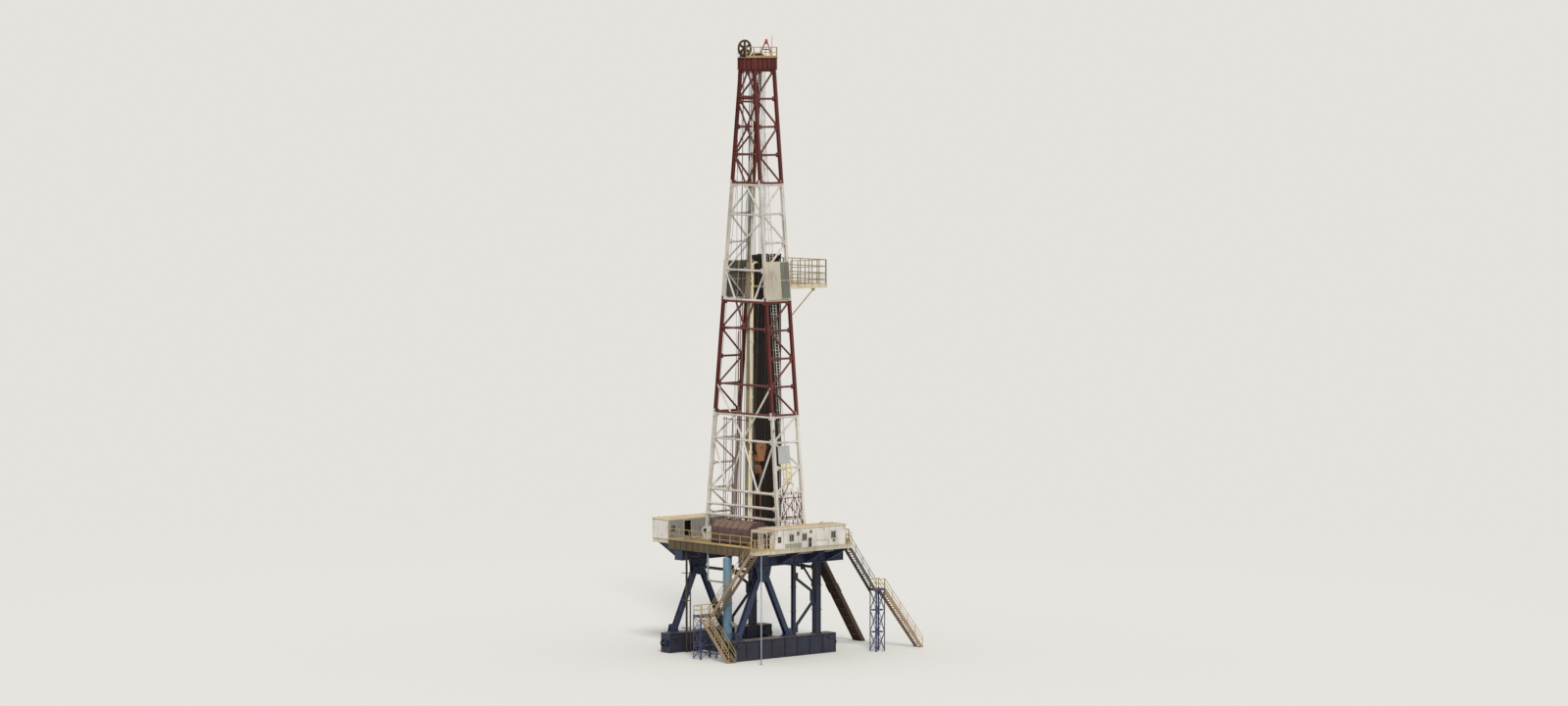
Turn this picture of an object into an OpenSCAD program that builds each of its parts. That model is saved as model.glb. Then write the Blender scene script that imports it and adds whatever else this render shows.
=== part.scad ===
// Land oil drilling rig, a scale model at half the real size, in millimetres.
// The origin is on the ground at the centre of the well. +X points down the
// V-door ramp, +Y points to the left side seen from behind, and +Z is up.

/* [Substructure] */
// Height of the top of the drill floor above the ground
floor_top = 5650; // [5400:10:6000]
// Height of the base boxes that lie on the ground
base_h = 1000; // [800:10:1200]
// Width of each base box
base_w = 750; // [600:10:900]
// How far the base boxes reach behind the well
base_rear = 4000; // [3800:10:4200]
// How far the base boxes reach in front of the well
base_front = 2800; // [2600:10:3000]
// Distance from the well to the middle plane of each side frame
side_y = 2500; // [2350:10:2600]
// Width of the long box beams that carry the floor
upper_w = 600; // [450:10:700]
// Depth of the long box beams that carry the floor
upper_d = 650; // [500:10:750]
// Width of the inclined legs of the side frames
a_leg_w = 260; // [200:10:320]
// Distance of the rear foot of the side frame behind the well
a_rear_x = 3500; // [3300:10:3600]
// Distance of the front foot of the side frame behind the well
a_front_x = 150; // [100:10:300]
// Distance of the top of the side frame behind the well
a_top_x = 1850; // [1700:10:2000]
// Distance of the slim column in front of the well
mid_col_x = 250; // [200:10:400]
// Width of the slim column
mid_col_w = 185; // [140:5:220]
// Distance of the heavy column in front of the well
front_col_x = 1800; // [1700:10:2000]
// Width of the heavy column
front_col_w = 325; // [260:5:400]
// Width of the braces between the two columns
k_brace_w = 110; // [80:5:140]
// Width of the cross ties between the side frames
tie_w = 150; // [110:5:200]
// Length of the knee braces under the front tie, along the tie
knee_l = 900; // [700:10:1100]
// Height of the spreader beams between the base boxes
spreader_h = 300; // [200:10:400]
// Width of the spreader beams
spreader_w = 240; // [180:10:300]
// Distance of the rear spreader beam behind the well
spreader_rear = 2500; // [2400:10:2600]
// Distance of the front spreader beam in front of the well
spreader_front = 2400; // [2200:10:2600]

/* [Drill floor] */
// How far the floor reaches behind the well
floor_rear = 3200; // [3100:10:3300]
// How far the floor reaches in front of the well
floor_front = 3400; // [3300:10:3500]
// How far the floor reaches past the mast shoes on both sides
shoe_margin = 193; // [180:1:260]
// Thickness of the deck plate
deck_t = 50; // [30:5:70]
// Depth of the beams under the deck
beam_d = 300; // [240:10:360]
// Width of each beam under the deck
beam_w = 110; // [80:5:140]
// Thickness of the edge beam around the floor
rim_t = 50; // [35:5:60]
// Depth of the edge beam around the floor
rim_d = 450; // [380:10:480]
// Width of the square rotary table
rotary_w = 700; // [640:10:760]
// How far the rotary table stands above the deck
rotary_rise = 60; // [40:5:80]
// Radius of the opening in the rotary table
rotary_r = 238; // [200:1:260]
// Height of the guard rails
rail_h = 600; // [500:10:650]
// Width of the rail posts and bars
rail_w = 30; // [20:1:40]
// Height of the toe board
toe_h = 110; // [75:5:150]
// Largest distance between two rail posts
rail_pitch = 900; // [700:50:1200]
// Half the width of the gap in the rails at the V-door
v_door_half = 500; // [420:10:600]

/* [Houses beside the floor] */
// Width of the platforms and houses on both sides of the floor
house_w = 1250; // [1150:10:1350]
// Thickness of the side platforms
strip_t = 200; // [150:10:240]
// Height of the house walls
wall_h = 1000; // [940:10:1060]
// Thickness of the house walls
wall_t = 40; // [30:5:55]
// Thickness of the house roofs
roof_t = 50; // [35:5:70]
// How far the roofs stand out over the walls
roof_lip = 35; // [20:5:50]
// Distance of the doghouse's rear wall behind the well
dog_rear = 2700; // [2600:10:2800]
// Distance of the doghouse's front wall in front of the well
dog_front = 2000; // [1900:10:2100]
// Length of the right platform in front of the well
strip_front = 2450; // [2350:10:2600]
// Distance of the left cabin's front wall in front of the well
cabin_front = 800; // [700:10:900]
// Width of the doorways
door_w = 450; // [400:10:500]
// Height of the doorways
door_h = 900; // [850:10:920]
// Distance of the doghouse's floor door behind the well
dog_door = 500; // [450:10:550]
// Distance of the cabin's door behind the well
cabin_door = 1900; // [1700:10:2100]
// Thickness of the window panes
pane_t = 10; // [6:1:14]
// Thickness of the bracket plates under the side platforms
bracket_t = 80; // [50:5:110]
// Distance of the middle brackets of the right platform from the well
right_bracket_x = 900; // [800:10:1000]
// Distance of the middle bracket of the left platform behind the well
left_bracket_x = 1200; // [1000:10:1400]
// Distance from a platform's front end to its last bracket
bracket_set = 150; // [100:10:200]
// Distance from the floor's rear edge to the slim post at the corner
post_back = 350; // [300:10:400]
// Width of the slim posts
post_w = 60; // [45:5:80]

/* [Stairs] */
// Width of the stairs
stair_w = 500; // [440:10:520]
// Thickness of the stair stringers
stringer_t = 30; // [20:5:40]
// Vertical depth of the stair stringers
stringer_d = 240; // [180:10:300]
// Depth of a tread
tread_d = 125; // [100:5:150]
// Thickness of a tread
tread_t = 20; // [15:1:30]
// Largest step between two treads
step_max = 130; // [110:5:150]
// Thickness of the landings
landing_t = 100; // [70:5:130]
// Height of the right stair's landing
right_landing_z = 3200; // [3000:10:3400]
// Distance of the right stair's landing in front of the well
right_landing_x = 4300; // [4200:10:4400]
// Length of the landings
landing_l = 600; // [550:10:650]
// Length of the right stair's lower flight
right_lower_run = 2650; // [2500:10:2800]
// Height of the rear stair's landing
rear_landing_z = 2200; // [2000:10:2400]
// Distance of the rear stair's landing to the right of the well
rear_landing_y = 950; // [900:10:1000]
// Length of the rear stair's lower flight
rear_lower_run = 2200; // [2000:10:2300]
// Distance from the floor's rear edge to the rear stair
rear_stair_gap = 250; // [200:10:300]
// Gap between the two rear flights
flight_gap = 100; // [60:10:150]

/* [V-door ramp] */
// Distance of the ramp's foot in front of the well
ramp_foot_x = 6900; // [6600:10:7200]
// Width of the ramp
ramp_w = 700; // [600:10:800]
// Vertical thickness of the ramp's bed
ramp_t = 150; // [110:10:200]
// Height of the ramp's side walls above its bed
ramp_wall_h = 250; // [180:10:320]
// Thickness of the ramp's side walls
ramp_wall_t = 40; // [30:5:60]

/* [Floor machinery] */
// Height of the drawworks house
drawworks_h = 1250; // [1100:10:1400]
// Length of the drawworks house along the mast's depth
drawworks_l = 1300; // [1200:10:1400]
// Width of the drawworks house
drawworks_w = 3000; // [2800:10:3200]
// Distance of the drawworks house's front face behind the well
drawworks_front = 1600; // [1500:10:1700]
// Distance of the drawworks house's left face to the left of the well
drawworks_left = 250; // [150:10:400]
// Radius of the upright vessel under the floor
vessel_r = 225; // [180:5:250]
// Height of the upright vessel
vessel_h = 5100; // [4900:10:5150]
// Distance of the upright vessel to the right of the well
vessel_y = 1300; // [1250:10:1400]

/* [Mast] */
// Height of the mast's top
mast_top = 29500; // [28500:50:30500]
// Width of the mast at its foot
mast_foot_w = 5844; // [5600:4:5950]
// Width of the mast at its top
mast_top_w = 1225; // [1150:5:1300]
// Width of a mast leg
mast_leg = 150; // [120:5:180]
// Distance of the rear legs behind the well at the foot
rear_leg_foot = 1025; // [950:5:1100]
// Distance of the rear legs behind the well at the top
rear_leg_top = 650; // [620:5:700]
// Distance of the front legs in front of the well at the foot
front_leg_foot = 725; // [700:5:760]
// Distance of the front legs in front of the well at the top
front_leg_top = 650; // [620:5:700]
// Thickness of the mast's braces
brace_t = 80; // [60:5:100]
// Width of the mast's horizontal bars
girt_w = 100; // [70:5:130]
// Width of the mast's diagonal bars
diag_w = 80; // [50:5:100]
// Height of the lowest joint between mast sections
joint_1 = 12100; // [11800:50:12400]
// Height of the middle joint between mast sections
joint_2 = 17850; // [17600:50:18100]
// Height of the highest joint between mast sections
joint_3 = 23750; // [23400:50:24100]
// Height of the mast shoes
shoe_h = 450; // [350:10:550]
// Width of the mast shoes
shoe_w = 420; // [360:10:480]
// Width of the ladder
ladder_w = 250; // [200:10:300]
// Distance between two ladder rungs
rung_pitch = 300; // [200:10:400]

// Distance of the mud riser to the right of the well
standpipe_y = 475; // [440:5:500]

/* [Crown] */
// Height of the crown frame
crown_h = 600; // [500:10:700]
// How far the crown frame stands out over the mast's legs
crown_lip = 50; // [20:5:80]
// Width of the crown frame's beams
crown_beam_w = 150; // [120:5:180]
// Height of the sheave axle above the foot of the crown frame
axle_rise = 500; // [460:10:560]
// Radius of the sheave axles
axle_r = 60; // [45:1:70]
// Distance of the hoist lines from the mast's middle plane
line_x = 320; // [280:5:340]
// Radius of the hoist lines
line_r = 9; // [6:1:12]
// Number of sheaves in each row
sheave_n = 5; // [3:1:5]
// Distance between two sheaves
sheave_pitch = 110; // [95:5:115]
// Thickness of a sheave
sheave_t = 55; // [40:5:65]
// Radius of the fast line sheave
fast_sheave_r = 450; // [400:10:500]
// Width of the fast line sheave's stand at its foot
stand_w = 520; // [460:10:560]
// Height of the crown's guard rails
crown_rail_h = 550; // [480:10:600]
// Height of the crown's slim post
crown_post_h = 1150; // [1100:10:1300]
// Height of the small lifting frame on the crown
gin_h = 950; // [850:10:1050]
// Distance from the crown frame's front face to the lifting frame
gin_set = 260; // [220:10:300]

/* [Racking board] */
// Height of the racking board
board_z = 18450; // [18200:10:18700]
// How far the racking board reaches in front of the well
board_front = 3200; // [3000:10:3400]
// Width of the racking board
board_w = 3400; // [3300:10:3500]
// Depth of the racking board's bars
board_t = 100; // [70:5:120]
// Height of the guard frames around the racking board
guard_h = 1350; // [1200:10:1500]
// Half the width of the walkway in the middle of the board
walk_half = 250; // [200:10:300]
// Distance between two rows of racked pipe
row_pitch = 170; // [160:2:190]
// Distance from the walkway to the first pipe of a row
pipe_in = 260; // [240:10:280]
// Distance from the board's side edge to the last pipe of a row
pipe_edge = 200; // [190:2:220]
// Number of rows of racked pipe
row_n = 7; // [4:1:7]
// Number of pipes in each row
pipe_n = 10; // [5:1:10]
// Radius of a racked pipe
pipe_r = 34; // [25:1:40]
// Height of the top of the racked pipe
pipe_top = 20150; // [19900:10:20400]
// How far below the board its struts start
strut_drop = 1400; // [1200:10:1600]
// Distance from the board's front edge to the upper ends of its struts
strut_set = 850; // [700:10:1000]
// Width of the struts
strut_w = 70; // [50:5:80]
// Thickness of the wind wall panels
wind_t = 30; // [20:5:50]
// Height of the lower edge of the wind walls
wind_low = 17950; // [17900:10:18200]
// Height of the upper edge of the wind walls
wind_high = 19850; // [19600:10:20000]

/* [Travelling block] */
// Height of the travelling block's axle
block_z = 10400; // [10000:10:10800]
// Thickness of the travelling block's side plates
block_plate_t = 35; // [25:5:50]
// Length of the travelling block below its axle
block_l = 700; // [620:10:800]
// Height of the lower end of the elevator
elevator_z = 6700; // [6500:10:6900]
// Length of the hook
hook_l = 650; // [560:10:750]
// Width of the hook
hook_w = 340; // [300:10:380]
// Thickness of the hook
hook_d = 260; // [220:10:280]
// Length of the hook's stem
hook_stem = 200; // [160:10:240]
// Width of the elevator links
link_w = 60; // [45:5:80]
// Distance of the elevator links from the well
link_y = 230; // [215:5:250]
// Radius of the elevator
elevator_r = 170; // [150:5:190]
// Radius of the elevator's opening
elevator_bore = 75; // [60:1:90]
// Height of the elevator
elevator_h = 150; // [120:5:180]

/* [Hidden] */
// Running gap between a hoist line and the rim of its sheave
seat = 0.3;
// Gap between two slanting faces that are bolted together
face_gap = 0.1;
// Weld seam between two bars that are separate solids
seam = 1;
floor_half_w = mast_foot_w / 2 - mast_leg / 2 + shoe_w / 2 + shoe_margin;
deck_z = floor_top - deck_t;
beam_z = deck_z - beam_d;
upper_z = beam_z - upper_d;
upper_out = side_y + upper_w / 2;
strip_z = floor_top - strip_t;
strip_out = floor_half_w + house_w;
roof_z = floor_top + wall_h;
rim_in_rear = floor_rear - rim_t;
rim_in_front = floor_front - rim_t;
rim_in_side = floor_half_w - rim_t;
corner_out = floor_rear + rear_stair_gap + stair_w + 50;
rear_flight_x = -floor_rear - rear_stair_gap - stair_w / 2;
rear_flight_x2 = rear_flight_x - stair_w - flight_gap;
right_stair_y = -floor_half_w - house_w * 0.6;
corner_y = 400;
crown_z = mast_top + crown_h;
axle_z = mast_top + axle_rise;
crown_x = front_leg_top + mast_leg / 2 + crown_lip;
crown_y = mast_top_w / 2 + crown_lip;
sheave_r = line_x - line_r - seat;
sheave_span = (sheave_n - 1) * sheave_pitch + sheave_t;
plate_in = sheave_span / 2 + 25;
board_rear = front_leg_x(board_z) + mast_leg / 2;
section_z = [floor_top, joint_1, joint_2, joint_3, mast_top];
section_panels = [5, 4, 4, 4];
fast_x = -350;
fast_y = crown_y - crown_beam_w * 0.6;
pipe_x0 = board_rear + board_t + 100;
pipe_y0 = walk_half + pipe_in;
pipe_pitch = (board_w / 2 - pipe_edge - pipe_y0) / (pipe_n - 1);
// Windows in a long wall: middle along X, middle in Z above the floor, width and height
dog_windows = [[-1600, 550, 280, 320], [-1180, 750, 160, 160], [-750, 550, 280, 320],
               [1170, 550, 280, 320]];
cabin_windows = [[-2850, 550, 280, 320]];
// Level bars across the open back, as heights
back_girts = [6900, 7450, 8200, 10800, 13600, 16450, 19400, 22200, 25250, 27900, 28150];
// Slanting bars across the back: side fraction and height of both ends
back_braces = [[-1, 10750, -0.45, 8250], [-0.45, 8250, 0, 10750],
               [0, 10750, 0.45, 8250], [0.45, 8250, 1, 10750],
               [-1, 13550, 0, 10850], [1, 13550, 0, 10850],
               [-1, 19350, 0, 16500], [1, 19350, 0, 16500],
               [-1, 21900, 1, 19900], [-1, 22150, 0, 23650],
               [-1, 25200, 0, 23700], [1, 25200, 0, 23700],
               [-1, 25300, 0, 26550], [1, 25300, 0, 26550],
               [-1, 27850, 0, 26600], [1, 27850, 0, 26600],
               [-1, 28200, 0, 29400], [1, 28200, 0, 29400]];
big = 40000;

function mix(a, b, t) = a + (b - a) * t;
function mast_t(z) = (z - floor_top) / (mast_top - floor_top);
function half_w(z) = mix(mast_foot_w, mast_top_w, mast_t(z)) / 2;
function rear_leg_x(z) = -mix(rear_leg_foot, rear_leg_top, mast_t(z));
function front_leg_x(z) = mix(front_leg_foot, front_leg_top, mast_t(z));

// A box between two opposite corners
module block(low, high) {
    translate(low) cube(high - low);
}

// A flat bar between two points of a drawing
module bar(a, b, w) {
    d = b - a;
    translate(a) rotate(atan2(d.y, d.x)) translate([-w / 2, -w / 2]) square([norm(d) + w, w]);
}

// A drawing in the X-Z plane, made thick along Y from y0 to y1
module along_y(y0, y1) {
    translate([0, y1, 0]) rotate([90, 0, 0]) linear_extrude(y1 - y0) children();
}

// A drawing in the Y-Z plane, made thick along X from x0 to x1
module along_x(x0, x1) {
    translate([x0, 0, 0]) rotate([90, 0, 90]) linear_extrude(x1 - x0) children();
}

// One of the two long boxes that lie on the ground
module base_box(s) {
    color("#1d2740") {
        block([-base_rear, s * side_y - base_w / 2, 0], [base_front, s * side_y + base_w / 2, base_h]);
    }
}

module base_spreaders() {
    color("#1d2740")
        for (x = [-spreader_rear, spreader_front])
            block([x - spreader_w / 2, -side_y + base_w / 2, spreader_h / 2],
                  [x + spreader_w / 2, side_y - base_w / 2, 1.5 * spreader_h]);
}

// Side view of the two inclined legs, which meet under the floor
module side_frame_drawing() {
    intersection() {
        union() {
            bar([-a_rear_x, base_h], [-a_top_x, upper_z], a_leg_w);
            bar([-a_front_x, base_h], [-a_top_x, upper_z], a_leg_w);
        }
        translate([-a_rear_x - a_leg_w, base_h]) square([a_rear_x + a_leg_w, upper_z - base_h]);
    }
}

module side_frame(s) {
    color("#27365c")
        along_y(s * side_y - a_leg_w / 2, s * side_y + a_leg_w / 2) side_frame_drawing();
}

// The slim and the heavy column, with the brace between them that points forward
module columns(s) {
    k_low = mix(base_h, upper_z, 0.08);
    k_high = mix(base_h, upper_z, 0.82);
    k_mid = mix(base_h, upper_z, 0.53);
    color("#1d2740") {
        block([mid_col_x - mid_col_w / 2, s * side_y - mid_col_w / 2, base_h],
              [mid_col_x + mid_col_w / 2, s * side_y + mid_col_w / 2, upper_z]);
        block([front_col_x - front_col_w / 2, s * side_y - front_col_w / 2, base_h],
              [front_col_x + front_col_w / 2, s * side_y + front_col_w / 2, upper_z]);
        along_y(s * side_y - k_brace_w / 2, s * side_y + k_brace_w / 2) {
            bar([mid_col_x, k_high], [front_col_x, k_mid], k_brace_w);
            bar([mid_col_x, k_low], [front_col_x, k_mid], k_brace_w);
        }
    }
}

// A tie between the two side frames with a knee brace at each end
module tie_drawing(half, z, knee) {
    intersection() {
        union() {
            bar([-half - tie_w, z], [half + tie_w, z], tie_w);
            for (s = [-1, 1])
                bar([s * (half + tie_w / 2), z - knee - tie_w / 2], [s * (half - knee), z], tie_w * 0.8);
        }
        translate([-half, 0]) square([2 * half, z + tie_w / 2]);
    }
}

module cross_ties() {
    rear_z = mix(base_h, upper_z, 0.9);
    rear_x = -mix(a_rear_x, a_top_x, 0.9);
    color("#1d2740") {
        along_x(front_col_x - tie_w / 2, front_col_x + tie_w / 2)
            tie_drawing(side_y - front_col_w / 2, upper_z - 2 * tie_w, knee_l);
        block([rear_x - tie_w / 2, -side_y + a_leg_w / 2, rear_z - tie_w / 2],
              [rear_x + tie_w / 2, side_y - a_leg_w / 2, rear_z + tie_w / 2]);
    }
}

module upper_box(s) {
    color("#27365c")
        block([-rim_in_rear, s * side_y - upper_w / 2, upper_z],
              [rim_in_front, s * side_y + upper_w / 2, beam_z]);
}

// Beams across the floor, with two short beams that frame the rotary table
module floor_beams() {
    near = rotary_w / 2;
    rear_step = (rim_in_rear - beam_w / 2 - near) / 3;
    front_step = (rim_in_front - beam_w / 2 - near) / 3;
    inside = near - beam_w / 2 - seam;
    color("#1d2740") {
        for (i = [0:3]) {
            for (x = [-near - i * rear_step, near + i * front_step])
                block([x - beam_w / 2, -rim_in_side, beam_z], [x + beam_w / 2, rim_in_side, deck_z]);
        }
        for (y = [-near, near])
            block([-inside, y - beam_w / 2, beam_z], [inside, y + beam_w / 2, deck_z]);
    }
}

module drill_floor() {
    color("#6b6258")
        difference() {
            block([-rim_in_rear, -rim_in_side, deck_z], [rim_in_front, rim_in_side, floor_top]);
            block([-rotary_w / 2, -rotary_w / 2, deck_z - 10], [rotary_w / 2, rotary_w / 2, floor_top + 10]);
        }
}

module floor_rim() {
    color("#cfc7b4")
        difference() {
            block([-floor_rear, -floor_half_w, floor_top - rim_d], [floor_front, floor_half_w, floor_top]);
            block([-rim_in_rear, -rim_in_side, floor_top - rim_d - 10],
                  [rim_in_front, rim_in_side, floor_top + 10]);
        }
}

module rotary_table() {
    color("#4a4744")
        difference() {
            block([-rotary_w / 2, -rotary_w / 2, deck_z],
                  [rotary_w / 2, rotary_w / 2, floor_top + rotary_rise]);
            translate([0, 0, deck_z - 10]) cylinder(h = deck_t + rotary_rise + 20, r = rotary_r, $fn = 64);
        }
}

// A straight run of guard rail that starts at the origin and runs along +X
module rail_run(l, h = rail_h) {
    n = ceil(l / rail_pitch);
    along_y(-rail_w / 2, rail_w / 2) {
        for (i = [0:n]) translate([i * (l - rail_w) / n, 0]) square([rail_w, h]);
        for (z = [h - rail_w, h / 2]) translate([0, z]) square([l, rail_w]);
        square([l, toe_h]);
    }
}

module handrails() {
    in_y = floor_half_w - rail_w;
    inset = rail_w / 2;
    color("#a08a4c")
        translate([0, 0, floor_top]) {
            translate([-floor_rear + inset, -in_y, 0]) rotate(90) rail_run(2 * in_y);
            translate([floor_front - inset, -in_y, 0]) rotate(90) rail_run(in_y - v_door_half);
            translate([floor_front - inset, v_door_half, 0]) rotate(90) rail_run(in_y - v_door_half);
            translate([cabin_front + rail_w, floor_half_w - inset, 0])
                rail_run(floor_front - cabin_front - 3 * rail_w);
            translate([strip_front + rail_w, -floor_half_w + inset, 0])
                rail_run(floor_front - strip_front - 3 * rail_w);
            translate([strip_front - inset, -strip_out + house_w * 0.7, 0])
                rotate(90) rail_run(house_w * 0.3 - rail_w);
            translate([dog_front + roof_lip + 10, -strip_out + inset, 0])
                rail_run(strip_front - dog_front - roof_lip - 10);
            translate([-corner_out, -strip_out + inset, 0]) rail_run(corner_out - dog_rear - roof_lip - 10);
            translate([-corner_out + inset, -strip_out + 2 * rail_w, 0])
                rotate(90) rail_run(corner_y - 2 * rail_w);
        }
}

// The platform right of the floor, with a corner piece where the rear stair starts
module right_platform() {
    color("#b9b3a4") {
        block([-floor_rear, -strip_out, strip_z], [strip_front, -floor_half_w, floor_top]);
        block([-corner_out, -strip_out, strip_z], [-floor_rear + 1, -strip_out + corner_y, floor_top]);
    }
}

module left_platform() {
    color("#b9b3a4")
        block([-floor_rear, floor_half_w, strip_z], [cabin_front, strip_out, floor_top]);
}

// Four walls of one house between two X positions and two Y positions
module walls(x0, x1, y0, y1) {
    difference() {
        block([x0, y0, floor_top], [x1, y1, roof_z]);
        block([x0 + wall_t, y0 + wall_t, floor_top - 10], [x1 - wall_t, y1 - wall_t, roof_z + 10]);
    }
}

module window_holes(list, y, grow) {
    for (w = list)
        block([w[0] - w[2] / 2, y - wall_t / 2 - grow, floor_top + w[1] - w[3] / 2],
              [w[0] + w[2] / 2, y + wall_t / 2 + grow, floor_top + w[1] + w[3] / 2]);
}

module doghouse_walls() {
    mid_y = -strip_out + house_w / 2;
    color("#d9d5c8")
        difference() {
            walls(-dog_rear, dog_front, -strip_out, -floor_half_w);
            window_holes(dog_windows, -strip_out + wall_t / 2, 10);
            block([-dog_door - door_w / 2, -floor_half_w - wall_t - 10, floor_top - 10],
                  [-dog_door + door_w / 2, -floor_half_w + 10, floor_top + door_h]);
            block([-dog_rear - 10, mid_y - door_w / 2, floor_top - 10],
                  [-dog_rear + wall_t + 10, mid_y + door_w / 2, floor_top + door_h]);
        }
}

module cabin_walls() {
    color("#aeb0aa")
        difference() {
            walls(-floor_rear, cabin_front, floor_half_w, strip_out);
            window_holes(cabin_windows, floor_half_w + wall_t / 2, 10);
            block([-cabin_door - door_w / 2, floor_half_w - 10, floor_top - 10],
                  [-cabin_door + door_w / 2, floor_half_w + wall_t + 10, floor_top + door_h]);
        }
}

module window_panes() {
    color("#20262b") {
        intersection() {
            window_holes(dog_windows, -strip_out + wall_t / 2, 0);
            block([-big, -strip_out + wall_t / 2 - pane_t / 2, 0],
                  [big, -strip_out + wall_t / 2 + pane_t / 2, big]);
        }
        intersection() {
            window_holes(cabin_windows, floor_half_w + wall_t / 2, 0);
            block([-big, floor_half_w + wall_t / 2 - pane_t / 2, 0],
                  [big, floor_half_w + wall_t / 2 + pane_t / 2, big]);
        }
    }
}

module doghouse_roof() {
    color("#e4dcc4")
        block([-dog_rear - roof_lip, -strip_out - roof_lip, roof_z],
              [dog_front + roof_lip, -floor_half_w, roof_z + roof_t]);
}

module cabin_roof() {
    color("#e4e2da")
        block([-floor_rear - roof_lip, floor_half_w, roof_z],
              [cabin_front + roof_lip, strip_out + roof_lip, roof_z + roof_t]);
}

// A flat canopy on three posts in front of the doghouse's end door
module porch() {
    x0 = -floor_rear;
    x1 = -dog_rear - roof_lip;
    color("#e4e2da") {
        block([x0, -strip_out + 40, roof_z - 60], [x1, -floor_half_w, roof_z - 20]);
        for (y = [-strip_out + 60, -strip_out + house_w * 0.55, -floor_half_w - 20])
            block([x0, y - 20, floor_top], [x0 + 40, y + 20, roof_z - 20]);
    }
}

// Sloping bracket plates from the long box beam out to a side platform
module bracket(s, x) {
    low = upper_z + bracket_t * 0.75;
    along_x(x - bracket_t / 2, x + bracket_t / 2)
        polygon([[s * upper_out, low], [s * (strip_out - house_w * 0.12), strip_z],
                 [s * (strip_out - house_w * 0.28), strip_z], [s * upper_out, low + bracket_t * 1.25]]);
}

module right_brackets() {
    color("#27365c") {
        for (x = [-floor_rear + 2 * bracket_set, -right_bracket_x, right_bracket_x,
                  strip_front - bracket_set])
            bracket(-1, x);
        block([-floor_rear - post_back - post_w / 2, -strip_out + post_w / 3, 0],
              [-floor_rear - post_back + post_w / 2, -strip_out + post_w * 4 / 3, strip_z]);
    }
}

module left_brackets() {
    color("#27365c")
        for (x = [-floor_rear + 2 * bracket_set, -left_bracket_x, cabin_front - bracket_set])
            bracket(1, x);
}

// A stair flight that starts at the origin and goes down along +X
module flight(run, drop, on_ground) {
    n = ceil(drop / step_max);
    slope = run / drop;
    foot = on_ground ? [[run - stringer_d * slope, -drop], [run, -drop]]
                     : [[run, -drop - stringer_d], [run, -drop]];
    edge = stair_w / 2 - stringer_t / 2;
    for (s = [-1, 1])
        along_y(s * edge - stringer_t / 2, s * edge + stringer_t / 2)
            polygon(concat([[0, 0], [0, -stringer_d]], foot));
    for (i = [1:n - 1]) {
        x = run * i / n;
        z = -drop * i / n;
        block([x - tread_d * 0.35, -stair_w / 2 + stringer_t / 2, z - stringer_d / 2],
              [x + tread_d * 0.65, stair_w / 2 - stringer_t / 2, z - stringer_d / 2 + tread_t]);
    }
}

module right_stair_upper() {
    color("#b8a070")
        translate([strip_front, right_stair_y, floor_top])
            flight(right_landing_x - strip_front, floor_top - right_landing_z, false);
}

module right_stair_lower() {
    color("#b8a070")
        translate([right_landing_x + landing_l, right_stair_y, right_landing_z])
            flight(right_lower_run, right_landing_z, true);
}

// A landing plate on four legs with cross bars, its low corner at the origin
module landing(lx, ly, z) {
    w = post_w;
    block([0, 0, z - landing_t], [lx, ly, z]);
    for (x = [0, lx - w])
        for (y = [0, ly - w]) block([x, y, 0], [x + w, y + w, z - landing_t + 1]);
    for (y = [0, ly - w])
        for (h = [z * 0.3, z * 0.65]) block([0, y, h], [lx, y + w, h + w]);
    for (x = [0, lx - w])
        for (h = [z * 0.3, z * 0.65]) block([x, 0, h], [x + w, ly, h + w]);
}

module right_landing() {
    color("#3f5a8c")
        translate([right_landing_x, right_stair_y - stair_w / 2, 0])
            landing(landing_l, stair_w, right_landing_z);
}

module rear_stair_upper() {
    color("#b8a070")
        translate([rear_flight_x, -strip_out + corner_y, floor_top]) rotate(90)
            flight(strip_out - corner_y - rear_landing_y, floor_top - rear_landing_z, false);
}

module rear_stair_lower() {
    color("#b8a070")
        translate([rear_flight_x2, -rear_landing_y, rear_landing_z]) rotate(-90)
            flight(rear_lower_run, rear_landing_z, true);
}

module rear_landing() {
    color("#3f5a8c")
        translate([rear_flight_x2 - stair_w / 2, -rear_landing_y, 0])
            landing(rear_flight_x - rear_flight_x2 + stair_w, landing_l, rear_landing_z);
}

// The sloping ramp that pipe is dragged up, a bed between two side walls
module v_door_ramp() {
    top = deck_z;
    slope = (ramp_foot_x - floor_front) / top;
    under = [[floor_front, top - ramp_t], [ramp_foot_x - ramp_t * slope, 0]];
    edge = ramp_w / 2 - ramp_wall_t / 2;
    color("#4a3226") {
        along_y(-ramp_w / 2, ramp_w / 2) polygon(concat([[floor_front, top]], under, [[ramp_foot_x, 0]]));
        for (s = [-1, 1])
            along_y(s * edge - ramp_wall_t / 2, s * edge + ramp_wall_t / 2)
                polygon(concat([[floor_front, top + ramp_wall_h]], under,
                               [[ramp_foot_x + ramp_wall_h * slope, 0]]));
    }
}

// A closed machine house whose upper front and rear edges are cut back
module drawworks() {
    x1 = -drawworks_front;
    x0 = x1 - drawworks_l;
    z1 = floor_top + drawworks_h;
    bevel = drawworks_h * 0.25;
    color("#5a4348")
        along_y(drawworks_left - drawworks_w, drawworks_left)
            polygon([[x0, floor_top], [x1, floor_top], [x1, z1 - bevel], [x1 - bevel, z1],
                     [x0 + bevel, z1], [x0, z1 - bevel]]);
}

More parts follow.
